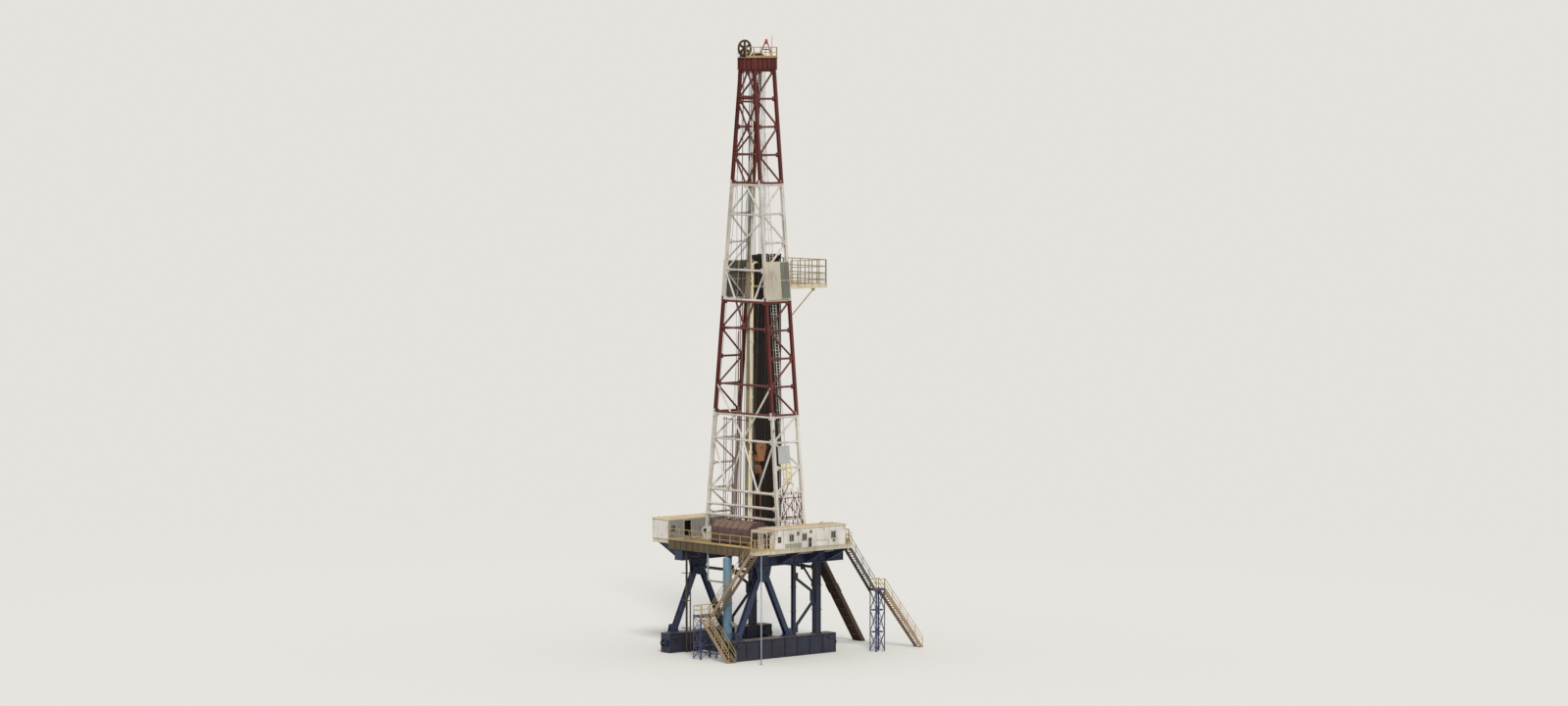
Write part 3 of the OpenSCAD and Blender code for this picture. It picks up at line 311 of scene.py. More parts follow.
def weathering():
    """Sun-faded paint with rust that starts in patches and runs down in streaks, and dust on top faces."""
    group = bpy.data.node_groups.new("weathering", "ShaderNodeTree")
    sockets = group.interface.new_socket
    colours = (("Paint", (0.5, 0.5, 0.5, 1)), ("Rust", srgb(96, 52, 30)), ("Dust", srgb(182, 150, 116)))
    for name, colour in colours:
        sockets(name, in_out="INPUT", socket_type="NodeSocketColor").default_value = colour
    for name, value in (("Rust amount", 0.3), ("Dust amount", 0.4), ("Fade", 0.3), ("Gloss", 0.45)):
        sockets(name, in_out="INPUT", socket_type="NodeSocketFloat").default_value = value
    for name, kind in (("Color", "Color"), ("Roughness", "Float"), ("Height", "Float")):
        sockets(name, in_out="OUTPUT", socket_type="NodeSocket" + kind)
    new, link = group.nodes.new, group.links.new
    given, result = new("NodeGroupInput").outputs, new("NodeGroupOutput").inputs
    place, facing = new("ShaderNodeTexCoord"), new("ShaderNodeNewGeometry")

    def noise(scale, detail, stretch=None):
        texture = new("ShaderNodeTexNoise")
        for socket, value in (("Scale", scale), ("Detail", detail), ("Roughness", 0.62)):
            texture.inputs[socket].default_value = value
        vector = place.outputs["Object"]
        if stretch:
            squeeze = new("ShaderNodeMapping")
            squeeze.inputs["Scale"].default_value = stretch
            link(vector, squeeze.inputs["Vector"])
            vector = squeeze.outputs[0]
        link(vector, texture.inputs["Vector"])
        return texture.outputs["Fac"]

    def maths(operation):
        def result_of(a, b):
            step = new("ShaderNodeMath")
            step.operation = operation
            for socket, value in zip(step.inputs, (a, b)):
                if isinstance(value, (int, float)):
                    socket.default_value = value
                else:
                    link(value, socket)
            return step.outputs[0]
        return result_of

    def spread(value, low, high, to_low=0.0, to_high=1.0):
        step = new("ShaderNodeMapRange")
        step.interpolation_type = "SMOOTHSTEP"
        ends = {"From Min": low, "From Max": high, "To Min": to_low, "To Max": to_high}
        for socket, number in ends.items():
            step.inputs[socket].default_value = number
        link(value, step.inputs["Value"])
        return step.outputs["Result"]

    def mixed(a, b, share):
        step = new("ShaderNodeMix")
        step.data_type = "RGBA"
        for socket, value in (("Factor", share), ("A", a), ("B", b)):
            link(value, step.inputs[socket])
        return step.outputs["Result"]

    plus, minus, times, least = [maths(kind) for kind in ("ADD", "SUBTRACT", "MULTIPLY", "MINIMUM")]
    patches = noise(2.3, 9)
    streaks = noise(1.0, 6, (7.5, 7.5, 0.5))
    broad = noise(0.45, 3)
    fine = noise(38, 4)
    wear = plus(times(patches, 0.62), times(streaks, 0.38))
    wear = plus(wear, times(minus(fine, 0.5), 0.14))
    wear = plus(wear, times(minus(given["Rust amount"], 0.5), 0.3))
    rusty = spread(wear, 0.55, 0.66)
    tone = new("ShaderNodeHueSaturation")
    link(given["Paint"], tone.inputs["Color"])
    tone_shift = times(minus(broad, 0.5), given["Fade"])
    link(plus(1.0, times(tone_shift, 2.4)), tone.inputs["Value"])
    link(minus(1.0, times(given["Fade"], 0.25)), tone.inputs["Saturation"])
    stained = mixed(tone.outputs[0], given["Rust"], times(spread(streaks, 0.5, 0.72), 0.32))
    coloured = mixed(stained, given["Rust"], rusty)
    normal = new("ShaderNodeSeparateXYZ")
    link(facing.outputs["Normal"], normal.inputs[0])
    upper = spread(normal.outputs["Z"], 0.25, 0.95, 0.12, 1.0)
    settled = times(upper, given["Dust amount"])
    dusty = times(settled, spread(patches, 0.3, 0.62, 0.45, 1.0))
    link(mixed(coloured, given["Dust"], dusty), result["Color"])
    rough = plus(given["Gloss"], times(rusty, 0.35))
    rough = plus(rough, times(dusty, 0.3))
    link(least(rough, 0.95), result["Roughness"])
    link(minus(times(fine, 0.35), times(rusty, 0.5)), result["Height"])
    return group


weathered, usual_slot = weathering(), {}


def paint(name, colour, slot=None, rust=0.3, dust=0.3, fade=0.5, gloss=0.45, metal=0.0, rust_colour=None):
    """Paint or bare metal on steel, with the shared weathering. Colours are given as on a screen."""
    material = bpy.data.materials.new(name)
    usual_slot[material.name] = slot or name
    material.use_nodes = True
    tree = material.node_tree
    surface = tree.nodes["Principled BSDF"]
    surface.inputs["Metallic"].default_value = metal
    surface.inputs["Specular IOR Level"].default_value = 0.3
    wear = tree.nodes.new("ShaderNodeGroup")
    wear.node_tree = weathered
    wear.inputs["Paint"].default_value = srgb(*colour)
    if rust_colour:
        wear.inputs["Rust"].default_value = srgb(*rust_colour)
    for socket, value in (("Rust amount", rust), ("Dust amount", dust), ("Fade", fade), ("Gloss", gloss)):
        wear.inputs[socket].default_value = value
    relief = tree.nodes.new("ShaderNodeBump")
    relief.inputs["Strength"].default_value = 0.4
    relief.inputs["Distance"].default_value = 0.006
    link_nodes(tree, (wear.outputs["Color"], surface.inputs["Base Color"]),
               (wear.outputs["Roughness"], surface.inputs["Roughness"]),
               (wear.outputs["Height"], relief.inputs["Height"]),
               (relief.outputs[0], surface.inputs["Normal"]))
    return material


navy = paint("navy_paint", (10, 32, 56), dust=0.32, fade=0.45)
flange_t, web_inset, rib_t = 0.05, 0.05, 0.03


def plated_box(steel, low, high, rib_pitch):
    """A long welded box with flanges above and below, webs set back, and ribs."""
    (x0, y0, z0), (x1, y1, z1) = low, high
    for z in (z0, z1 - flange_t):
        steel.box((x0, y0, z), (x1, y1, z + flange_t))
    z0, z1 = z0 + flange_t, z1 - flange_t
    steel.box((x0 + rib_t, y0 + web_inset, z0), (x1 - rib_t, y1 - web_inset, z1))
    for x in spaced(x0, x1 - rib_t, round((x1 - x0) / rib_pitch) + 1):
        steel.box((x, y0 + 0.008, z0), (x + rib_t, y1 - 0.008, z1))


for side_name in ("left", "right"):
    steel, low, high = begin("base_box_" + side_name)
    plated_box(steel, low, high, 0.85)
    middle = (low.y + high.y) / 2
    lug = ((0, 0.3), (0.16, 0.36), (0.22, 0.5), (0.16, 0.64), (0, 0.7))
    for end, way in ((low.x, -1), (high.x, 1)):
        for y in (middle - 0.16, middle + 0.16):
            steel.cheek([(end + way * out, z) for out, z in lug], y, 0.04)
        steel.pin((end + way * 0.14, middle, 0.5), 0.22, 0.045, 12)
    for x in (low.x + 0.35, high.x - 0.35):
        for y in (low.y + 0.02, high.y - 0.02):
            steel.block(x, y, 0.14, 0.04, 0.70, 0.86)
    steel.done("base_box_plates_" + side_name, navy, 0.008)

# Spreader beams: plain H beams that keep the two base boxes apart, each on a bolted end plate.
# They carry the load of nothing else, so they sit low between the boxes.
steel, low, high = begin("base_spreaders")
half_wide, spreader_plate = 0.12, 0.03
for x in (low.x + half_wide, high.x - half_wide):
    z = (low.z + high.z) / 2
    steel.beam((x, low.y + 0.03, z), (x, high.y - 0.03, z), 2 * half_wide, high.z - low.z, spreader_plate)
    for y in (low.y + 0.015, high.y - 0.015):
        steel.block(x, y, 0.15, 0.015, low.z - 0.03, high.z + 0.03)
    for y in spaced(low.y, high.y, 7)[1:-1]:
        steel.block(x, y, half_wide - 0.01, 0.012, low.z + 0.03, high.z - 0.03)
steel.done("spreader_beams", navy, 0.006)

# Side frames: two sloping legs on each side that meet under the floor's long box beam. Each leg is a
# heavy H beam with stiffeners, pinned between lug plates at the foot and gusset plates at the top.
leg_wide, leg_plate = 0.26, 0.032
upper_blue = paint("blue_steel_paint", (12, 42, 78), "navy_paint", rust=0.32, dust=0.28)
rear_foot_x, front_foot_x, apex_x = -3.5, -0.15, -1.85
base_top, apex_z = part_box("base_box_left")[1].z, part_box("upper_box_left")[0].z
foot_plate = [(0.26, base_top), (0.15, base_top + 0.42)]
gusset = [(0.52, apex_z), (0.40, apex_z - 0.50), (0.10, apex_z - 0.80)]
for side_name in ("left", "right"):
    steel, low, high = begin("side_frame_" + side_name)
    y = (low.y + high.y) / 2
    top = Vector((apex_x, y, apex_z - 0.02))
    for foot_x in (rear_foot_x, front_foot_x):
        foot = Vector((foot_x, y, base_top + 0.02))
        run = (top - foot).normalized()
        steel.beam(foot + run * 0.05, top - run * 0.10, leg_wide, leg_wide, leg_plate, aside)
        across = run.cross(aside).normalized() * (leg_wide / 2 - 0.035)
        for i in range(1, 7):
            spot = foot.lerp(top, i / 7)
            steel.bar(spot - across, spot + across, leg_wide * 0.97 - 2 * leg_plate, 0.02, run)
        pin_z = base_top + 0.24
        steel.pin((foot_x, y, pin_z), 0.21, 0.07)
        steel.block(foot_x, y, 0.32, 0.24, base_top, base_top + 0.035)
    for way in (-1, 1):
        edge = y + way * (leg_wide / 2 + 0.012)
        for foot_x in (rear_foot_x, front_foot_x):
            steel.cheek(mirrored(foot_x, foot_plate), edge, 0.028)
        steel.cheek(mirrored(apex_x, gusset), edge, 0.028)
        for out, z in ((-0.22, -0.38), (0.22, -0.38), (0, -0.16)):
            centre = Vector((apex_x + out, y + way * 0.15, apex_z + z))
            steel.tube(centre, centre + aside * way * 0.05, 0.05, 12)
    steel.done("side_frame_legs_" + side_name, upper_blue, 0.006)

# Columns: a slim H column and a heavy box column on each side, with two H braces between them
# that meet half way up the heavy one. Bolted collars mark where the lengths are joined.
slim_x, slim_wide, heavy_x, heavy_half = 0.25, 0.185, 1.8, 0.1625
brace_wide, brace_ends, brace_meet = 0.115, (1.292, 3.993), 2.934
for side_name in ("left", "right"):
    steel, low, high = begin("columns_" + side_name)
    y = (low.y + high.y) / 2
    steel.beam((slim_x, y, low.z), (slim_x, y, high.z), slim_wide, slim_wide, 0.022, aside)
    steel.block(heavy_x, y, heavy_half - 0.02, heavy_half - 0.02, low.z, high.z)
    for dx in (-1, 1):
        for dy in (-1, 1):
            reach = heavy_half - 0.03
            steel.block(heavy_x + dx * reach, y + dy * reach, 0.03, 0.03, low.z, high.z)
    for z in (low.z + 0.02, low.z + 1.2, low.z + 2.45, high.z - 0.045):
        steel.block(heavy_x, y, 0.21, 0.21, z, z + 0.025)
        steel.block(slim_x, y, 0.13, 0.13, z, z + 0.02)
    for end in brace_ends:
        meet = (heavy_x - heavy_half + 0.03, y, brace_meet + (end - brace_meet) * 0.1)
        steel.beam((slim_x, y, end), meet, brace_wide, brace_wide, 0.016, aside)
        steel.block(slim_x + 0.19, y, 0.11, 0.012, end - 0.17, end + 0.17)
    meeting_plate = ((0.16, -0.34), (0.45, -0.26), (0.45, 0.26), (0.16, 0.34))
    steel.cheek([(heavy_x - out, brace_meet + z) for out, z in meeting_plate], y, 0.024)
    steel.done("column_steel_" + side_name, navy, 0.006)

# Cross ties: a round tie with knee braces at the heavy columns, and one between the rear legs. They
# hold the two side frames upright.
steel, low, high = begin("cross_ties")
tie_x, tie_z, tie_r, knee_reach, tie_end = heavy_x, 4.35, 0.075, 0.9, high.y
rear_tie = (-2.015, 0, 4.285)
steel.pin((tie_x, 0, tie_z), tie_end, tie_r, 14)
steel.pin(rear_tie, tie_end - 0.02, tie_r, 14)
for way in (-1, 1):
    edge, inner = way * tie_end, way * (tie_end - knee_reach - 0.05)
    steel.tube((tie_x, edge - way * 0.03, tie_z - knee_reach - 0.03), (tie_x, inner, tie_z), 0.055, 12)
    edge -= way * 0.12
    for y, z in ((edge, tie_z), (edge, tie_z - knee_reach + 0.05), (inner, tie_z - 0.05)):
        steel.block(tie_x, y, 0.012, 0.15, z - 0.15, z + 0.15)
steel.done("cross_tie_tubes", navy)

# Long box beams: one on each side under the floor, welded from plate like the base boxes. The whole
# floor and the mast stand on them.
for side_name in ("left", "right"):
    steel, low, high = begin("upper_box_" + side_name)
    plated_box(steel, low, high, 0.8)
    steel.done("long_box_beam_" + side_name, upper_blue, 0.007)

# Floor beams: H beams across the floor under the deck plate, seen from below. Two short ones frame
# the rotary table.
steel, low, high = begin("floor_beams")
beam_z, beam_wide, beam_deep, near = (low.z + high.z) / 2, 0.11, high.z - low.z, 0.35
edge = beam_wide / 2
for x in spaced(-near, low.x + edge, 4) + spaced(near, high.x - edge, 4):
    steel.beam((x, low.y, beam_z), (x, high.y, beam_z), beam_wide, beam_deep, 0.02)
for y in (-near, near):
    steel.beam((-near, y, beam_z), (near, y, beam_z), beam_wide, beam_deep, 0.02)
steel.done("floor_beam_steel", navy)

# Deck: worn steel plates laid over the beams with open seams, round the square hole of the rotary
# table. They are dark, scuffed and dusty.
deck_brown = paint("deck_steel", (98, 86, 74), rust=0.52, dust=0.55, gloss=0.6)
steel, low, high = begin("drill_floor")
table_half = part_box("rotary_table")[1].x
seam, skin = 0.006, 0.012
x_edges = [low.x, -2.4, -1.2, -table_half, table_half, 1.2, 2.3, high.x]
y_edges = [low.y, -2.2, -1.2, -table_half, table_half, 1.2, 2.2, high.y]
for x0, x1 in zip(x_edges, x_edges[1:]):
    for y0, y1 in zip(y_edges, y_edges[1:]):
        if x1 != table_half or y1 != table_half:
            steel.box((x0, y0, low.z), (x1, y1, high.z - skin))
            steel.box((x0 + seam, y0 + seam, high.z - skin), (x1 - seam, y1 - seam, high.z))
steel.done("deck_plates", deck_brown)

# Edge beam: a pale channel all round the floor, with its lips outward and stiffeners between the
# lips. At the rear, where it is walked past most, it has an olive-brown coat.
cream = paint("cream_paint", (194, 182, 156), rust=0.4)
rim_olive = paint("rear_edge_paint", (84, 70, 48), "cream_paint", rust=0.5, dust=0.35)
steel, low, high = begin("floor_rim")
lip, lip_t, web_t, rib_in, rib_half = 0.038, 0.025, 0.012, 0.003, 0.01
rear_edge = Steel()


def on_wall(axis, along, across, z):
    """A point given along and across an axis that is X or Y."""
    return Vector((along, across, z) if axis == "x" else (across, along, z))


for part, axis, edge, way in ((steel, "x", low.y, 1), (steel, "x", high.y, -1), (rear_edge, "y", low.x, 1),
                              (steel, "y", high.x, -1)):
    a, b, gap, web_gap = (low.x, high.x, 0, lip) if axis == "x" else (low.y, high.y, lip, lip + web_t)
    web, inside = edge + way * lip, edge + way * (lip + web_t)
    part.box(on_wall(axis, a + web_gap, web, low.z), on_wall(axis, b - web_gap, inside, high.z))
    for z in (low.z, high.z - lip_t):
        part.box(on_wall(axis, a + gap, edge, z), on_wall(axis, b - gap, web, z + lip_t))
    for rib in spaced(a + 0.03, b - 0.03, 15):
        part.box(on_wall(axis, rib - rib_half, edge + way * rib_in, low.z + lip_t),
                 on_wall(axis, rib + rib_half, web, high.z - lip_t))
steel.done("edge_channel", cream, 0.004)
rear_edge.done("rear_edge_channel", rim_olive, 0.004)

# Rotary table: a cast housing let into the floor, with a turning ring round the open bore, a split
# cover ring and four lifting eyes. The drill string passes through the bore.
bare_iron = paint("rotary_iron", (92, 84, 76), "dark_steel", rust=0.4, dust=0.35, fade=0.3, gloss=0.42,
                  metal=0.5)
steel, low, high = begin("rotary_table")
bore_r = 0.238
inner = bore_r + 0.09
step_z = high.z - 0.045
for z0, z1, half in ((low.z, step_z, table_half), (step_z, step_z + 0.02, table_half - 0.03)):
    points = []
    for c, s in circle(48, 1, 0.5):
        reach = half / max(abs(c), abs(s))
        points += [(c * r, s * r, z) for r, z in band(inner, reach, z0, z1)]
    steel.skin(points, 4, closed=True)
z0, z1 = low.z + 0.005, high.z - 0.012
cover = ((0, z0), (0.085, z0), (0.085, z1), (0.065, high.z), (0.012, high.z), (0, z1))
steel.ring((0, 0, 0), upward, [(bore_r + out, z) for out, z in cover], 48)
for x, y in circle(16, 0.30):
    steel.tube((x, y, high.z - 0.03), (x, y, high.z - 0.008), 0.012, 6)
for x, y in ((-1, -1), (-1, 1), (1, -1), (1, 1)):
    steel.ring((x * 0.31, y * 0.31, high.z - 0.012), (1, 1, 0), band(0.014, 0.026, -0.006, 0.006), 12)
steel.done("rotary_casting", bare_iron, 0.003, slot="deck_steel")

# Guard rails: welded tube with a knee rail and a pressed toe board, set round the floor and the side
# platforms with a gap at the V-door. The paint was ochre and has faded.
rail_yellow = paint("rail_paint", (168, 140, 72), rust=0.42, fade=0.6)
rail_tube, rail_high, toe_high = 0.019, 0.6, 0.11


def guard_rail(steel, a, b, height=rail_high, toe=True, pitch=0.9):
    """A run of rail between two points of a floor, with posts at most one pitch apart."""
    a, b, top = Vector(a), Vector(b), upward * (height - rail_tube)
    steel.tube(a + top, b + top, rail_tube, 8)
    steel.tube(a + upward * height / 2, b + upward * height / 2, rail_tube * 0.75, 8)
    posts = max(1, math.ceil((b - a).length / pitch))
    for i in range(posts + 1):
        foot = a.lerp(b, i / posts)
        steel.tube(foot, foot + top, rail_tube * 0.9, 8)
        steel.block(foot.x, foot.y, 0.026, 0.026, foot.z, foot.z + 0.05)
    if toe:
        steel.bar(a + upward * toe_high / 2, b + upward * toe_high / 2, 0.008, toe_high)


floor_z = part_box("floor_rim")[1].z
rear_x0, front_x0, side_y = -3.174, 3.374, 3.224
runs = ((rear_x0, -3.2, rear_x0, 3.2), (front_x0, -3.2, front_x0, -0.53), (front_x0, 0.53, front_x0, 3.2),
        (0.86, side_y, 3.31, side_y), (2.51, -side_y, 3.31, -side_y), (2.424, -3.60, 2.424, -3.30),
        (2.07, -4.474, 2.424, -4.474), (-3.974, -4.474, -2.77, -4.474), (-3.974, -4.41, -3.974, -4.13))
steel = Steel("handrails")
for ax, ay, bx, by in runs:
    guard_rail(steel, (ax, ay, floor_z), (bx, by, floor_z))
steel.done("guard_rail_tubes", rail_yellow)

# Side platforms: channel frames with a chequered top plate, hung beside the floor to carry the
# houses. Cross joists show from below.
platform_grey = paint("platform_paint", (190, 182, 160), "cream_paint", rust=0.4, dust=0.4)


def side_platform(steel, low, high):
    """A platform frame between two corners: plate, edge channels, end plates and joists."""
    (x0, y0, z0), (x1, y1, z1) = low, high
    steel.box((x0 + 0.01, y0 + 0.01, z1 - 0.02), (x1 - 0.01, y1 - 0.01, z1))
    for y, way in ((y0, 1), (y1, -1)):
        steel.box((x0, y + way * 0.02, z0), (x1, y + way * 0.032, z1 - 0.02))
        for z in (z0, z1 - 0.036):
            steel.box((x0, y, z), (x1, y + way * 0.06, z + 0.016))
    for x, way in ((x0, 1), (x1, -1)):
        steel.box((x, y0 + 0.03, z0 + 0.016), (x + way * 0.02, y1 - 0.03, z1 - 0.036))
    for x in spaced(x0, x1, max(1, round((x1 - x0) / 0.6)) + 1)[1:-1]:
        steel.beam((x, y0 + 0.04, z1 - 0.09), (x, y1 - 0.04, z1 - 0.09), 0.06, 0.12, 0.01)
        steel.box((x - 0.008, y0 + 0.001, z0 + 0.016), (x + 0.008, y0 + 0.02, z1 - 0.036))


strip_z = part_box("right_platform")[0].z
right_frame, left_frame = Steel("right_platform"), Steel("left_platform")
side_platform(right_frame, (-3.2, -4.5, strip_z), (2.45, -3.25, floor_z))
side_platform(right_frame, (-4.0, -4.5, strip_z), (-3.2, -4.1, floor_z))
side_platform(left_frame, (-3.2, 3.25, strip_z), (0.8, 4.5, floor_z))
right_frame.done("right_platform_frame", platform_grey, 0.002)
left_frame.done("left_platform_frame", platform_grey, 0.002)

# Brackets: tapered plates with a flange along the lower edge, welded to the long box beams, that
# hold the side platforms up. A slim post stands under the corner piece.
beam_face, bracket_in, bracket_out, bracket_low, bracket_high = 2.8, 3.25, 4.35, 4.71, 5.19
for side, name, places in ((-1, "right", (-2.9, -0.9, 0.9, 2.3)), (1, "left", (-2.9, -1.2, 0.65))):
    steel = Steel(name + "_brackets")
    outline = ((beam_face, bracket_low), (bracket_out, strip_z - 0.012), (bracket_in, strip_z - 0.012),
               (bracket_in, bracket_high), (beam_face, bracket_high))
    root, tip = side * beam_face, side * bracket_out
    for x in places:
        steel.plate([(side * y, z) for y, z in outline], "x", x - 0.01, x + 0.01)
        steel.bar((x, root, bracket_low + 0.01), (x, tip, strip_z - 0.01), 0.08, 0.018)
        steel.box((x - 0.04, side * bracket_in, strip_z - 0.014), (x + 0.04, tip, strip_z))
        for y, top in ((3.05, min(strip_z, bracket_high)), (3.55, strip_z)):
            foot = bracket_low + (strip_z - bracket_low) * (y - beam_face) / (bracket_out - beam_face)
            steel.block(x, side * y, 0.036, 0.006, foot, top)
        steel.box((x - 0.09, root, bracket_low - 0.03), (x + 0.09, root + side * 0.016, bracket_high))
    steel.done("bracket_plates_" + name, upper_blue, 0.002)
post_grey = paint("corner_post_paint", (138, 150, 164), "navy_paint", rust=0.38)
post_x, post_y = -3.55, -4.45
steel = Steel()
steel.tube((post_x, post_y, 0.012), (post_x, post_y, strip_z), 0.028, 12)
steel.block(post_x, post_y, 0.08, 0.08, 0, 0.014)
steel.block(post_x, post_y + 0.01, 0.07, 0.06, strip_z - 0.012, strip_z)
for z in (1.9, 3.8):
    steel.ring((post_x, post_y, z), upward, band(0.028, 0.042, -0.02, 0.02), 12)
steel.done("corner_post", post_grey)

# Doghouse: the crew's shelter on the right platform. Off-white trapezoid sheet on a welded frame,
# with framed windows and open doorways; the inside is lined with flat board.
house_white = paint("house_sheet", (208, 204, 196), "white_house", rust=0.34, fade=0.45, gloss=0.5)
house_frame = paint("house_frame", (192, 180, 156), "white_house", rust=0.42)
wall_t, sheet_deep, sheet_pitch = 0.04, 0.016, 0.11
corner_wide, sill_high, head_deep = 0.05, 0.05, 0.04
door_wide, door_high, window_proud = 0.45, 0.9, 0.012


def corners(low, high):
    """The four corners of a plan, each with the ways that lead inward."""
    return [(x, x_way, y, y_way) for x, x_way in ((low.x, 1), (high.x, -1))
            for y, y_way in ((low.y, 1), (high.y, -1))]


def opening(x, z, wide, high):
    """A window as (from, to, sill, head), with its middle given over the floor."""
    return (x - wide / 2, x + wide / 2, floor_z + z - high / 2, floor_z + z + high / 2)


def doorway(middle):
    return (middle - door_wide / 2, middle + door_wide / 2, floor_z, floor_z + door_high)


def sheet_steps(start, end, pitch):
    """The places where a trapezoid sheet bends, each with its rise from 0 to 1."""
    bends = [n * pitch + pitch * share for n in range(math.floor(start / pitch), math.ceil(end / pitch))
             for share in (0.0, 0.35, 0.5, 0.85)]
    places = sorted({start, end} | {at for at in bends if start < at < end})
    return [(at, min(1, max(0, 0.5 - at / pitch % 1, at / pitch % 1 - 0.85) / 0.15)) for at in places]


def sheet_wall(steel, axis, a, b, outer, way, z0, z1, holes):
    """A trapezoid sheet wall along X or Y from a to b. way is the side that faces out."""
    back = outer - way * (wall_t - 0.004)
    edges = sorted({a, b} | {end for hole in holes for end in hole[:2]})
    for start, end in zip(edges, edges[1:]):
        spans = [(z0, z1)]
        for hole in holes:
            if hole[0] <= start and end <= hole[1]:
                spans = [(z0, hole[2]), (hole[3], z1)]
        bends = sheet_steps(start, end, sheet_pitch)
        face = [(at, outer - way * sheet_deep * (1 - rise)) for at, rise in bends]
        outline = [(start, back), *face, (end, back)]
        for bottom, top in spans:
            if top > bottom:
                steel.plate([on_wall(axis, *p, 0)[:2] for p in outline], "z", bottom, top)


def opening_frame(steel, axis, hole, outer, way, proud, wide=0.035):
    """A flat frame round a window or a doorway, and a drip strip over it."""
    a, b, sill, head = hole
    front, back = outer + way * proud, outer - way * (wall_t + 0.006)
    foot = sill if sill == floor_z else sill - wide
    bars = [(a - wide, foot, a, head + wide), (b, foot, b + wide, head + wide), (a, head, b, head + wide),
            (a - wide * 1.3, head + wide, b + wide * 1.3, head + wide * 1.5)]
    if foot < sill:
        bars.append((a, foot, b, sill))
    for u0, v0, u1, v1 in bars:
        steel.box(on_wall(axis, u0, front, v0), on_wall(axis, u1, back, v1))


def house(trim, low, high, walls):
    """Sheet walls between corner posts, over a sill and under a head plate. walls says for the sides at
    low Y, high Y, low X and high X which sheets they are of, their openings and how proud the frames are."""
    for x, x_way, y, y_way in corners(low, high):
        trim.box((x, y, low.z), (x + x_way * corner_wide, y + y_way * corner_wide, high.z))
    sill, head = low.z + sill_high, high.z - head_deep
    places = (("x", low.y, -1), ("x", high.y, 1), ("y", low.x, -1), ("y", high.x, 1))
    for (axis, outer, way), (sheets, holes, proud) in zip(places, walls):
        a, b = (low.x, high.x) if axis == "x" else (low.y, high.y)
        a, b = a + corner_wide, b - corner_wide
        sheet_wall(sheets, axis, a, b, outer, way, sill, head, holes)
        ends = [a] + [end for hole in holes if hole[2] == floor_z for end in hole[:2]] + [b]
        for start, end in zip(ends[::2], ends[1::2]):
            trim.box(on_wall(axis, start, outer, low.z), on_wall(axis, end, outer - way * wall_t, sill))
        trim.box(on_wall(axis, a, outer, head), on_wall(axis, b, outer - way * wall_t, high.z))
        for hole in holes:
            opening_frame(trim, axis, hole, outer, way, proud)


sheets, low, high = begin("doghouse_walls")
windows = [opening(x, 0.55, 0.28, 0.32) for x in (-1.6, -0.75, 1.17)] + [opening(-1.18, 0.75, 0.16, 0.16)]
trim = Steel()
house(trim, low, high, ((sheets, windows, window_proud), (sheets, [doorway(-0.5)], 0.0),
                        (sheets, [doorway((low.y + high.y) / 2)], window_proud), (sheets, [], 0.0)))
sheets.done("doghouse_sheets", house_white)
trim.done("doghouse_frame", house_frame, 0.003)

# Doghouse fittings: small hatches with dark panes, a service door and a grey-green skirt on the long
# wall, with the pipes for cables and small lamp boxes. They stand a little proud of the sheet.
hatch_dark = paint("hatch_dark", (34, 36, 40), "window_glass", rust=0.25, dust=0.2, fade=0.3, gloss=0.3)
skirt_green = paint("skirt_paint", (150, 152, 134), "grey_house", rust=0.45, dust=0.35)
panes, frames, skirt = Steel(), Steel(), Steel()
outer, inside, pipe_y = low.y, low.y + 0.01, low.y - 0.011
for x, z, wide, tall in ((-2.4, 0.5, 0.22, 0.28), (-0.33, 0.79, 0.14, 0.13), (1.2, 0.27, 0.16, 0.10),
                         (-0.38, 0.26, 0.2, 0.46)):
    a, b, sill, head = opening(x, z, wide, tall)
    middle = (sill + head) / 2
    panes.box((a, outer - 0.004, sill), (b, outer + 0.012, head))
    opening_frame(frames, "x", (a, b, sill, head), outer, -1, 0.010, 0.018)
    frames.box((a, outer - 0.009, middle - 0.006), (b, inside, middle + 0.006))
skirt.box((-2.02, outer - 0.006, floor_z + 0.05), (-0.95, inside, floor_z + 0.27))
for x in spaced(-2.0, -0.976, 9):
    skirt.box((x, outer - 0.014, floor_z + 0.06), (x + 0.03, inside, floor_z + 0.26))
for x, top in ((-2.12, 0.96), (0.02, 0.9), (0.84, 0.34)):
    frames.tube((x, pipe_y, floor_z + 0.02), (x, pipe_y, floor_z + top), 0.011, 8)
frames.tube((0.02, pipe_y, floor_z + 0.33), (0.86, pipe_y, floor_z + 0.33), 0.012, 8)
for x in (-2.55, -1.0, 0.55, 1.85):
    frames.box((x - 0.05, outer - 0.026, floor_z + 0.86), (x + 0.05, inside, floor_z + 0.91))
panes.done("doghouse_hatches", hatch_dark)
frames.done("doghouse_hatch_frames", house_frame)
skirt.done("doghouse_skirt", skirt_green, 0.001)

# Doghouse roof: ribbed cream sheets in an edge channel, with two round vents and lifting lugs. The
# ribs run across, so that rain runs off to the sides.
roof_cream = paint("roof_sheet", (212, 198, 168), "white_house", dust=0.45, fade=0.4)
roof_edge, roof_sink = 0.03, 0.022


def ribbed_roof(steel, low, high, lugs=()):
    """Ribbed sheets in an edge channel between two corners, with lifting lugs at some places along X."""
    (x0, y0, z0), (x1, y1, z1) = low, high
    y0, y1, sheet_z = y0 + roof_edge, y1 - roof_edge, z1 - roof_sink
    steel.rim(low, high, roof_edge)
    steel.box((x0 + roof_edge, y0, z0 + 0.006), (x1 - roof_edge, y1, sheet_z))
    for x in spaced(x0, x1, round((x1 - x0) / 0.19) + 1)[1:-1]:
        steel.plate(mirrored(x, [(0.03, sheet_z), (0.015, z1 - 0.004)]), "y", y0, y1)
    for x in lugs:
        for y in (y0 + 0.07, y1 - 0.07):
            steel.cheek(mirrored(x, [(0.05, sheet_z), (0.02, z1 + 0.045)]), y, 0.014)


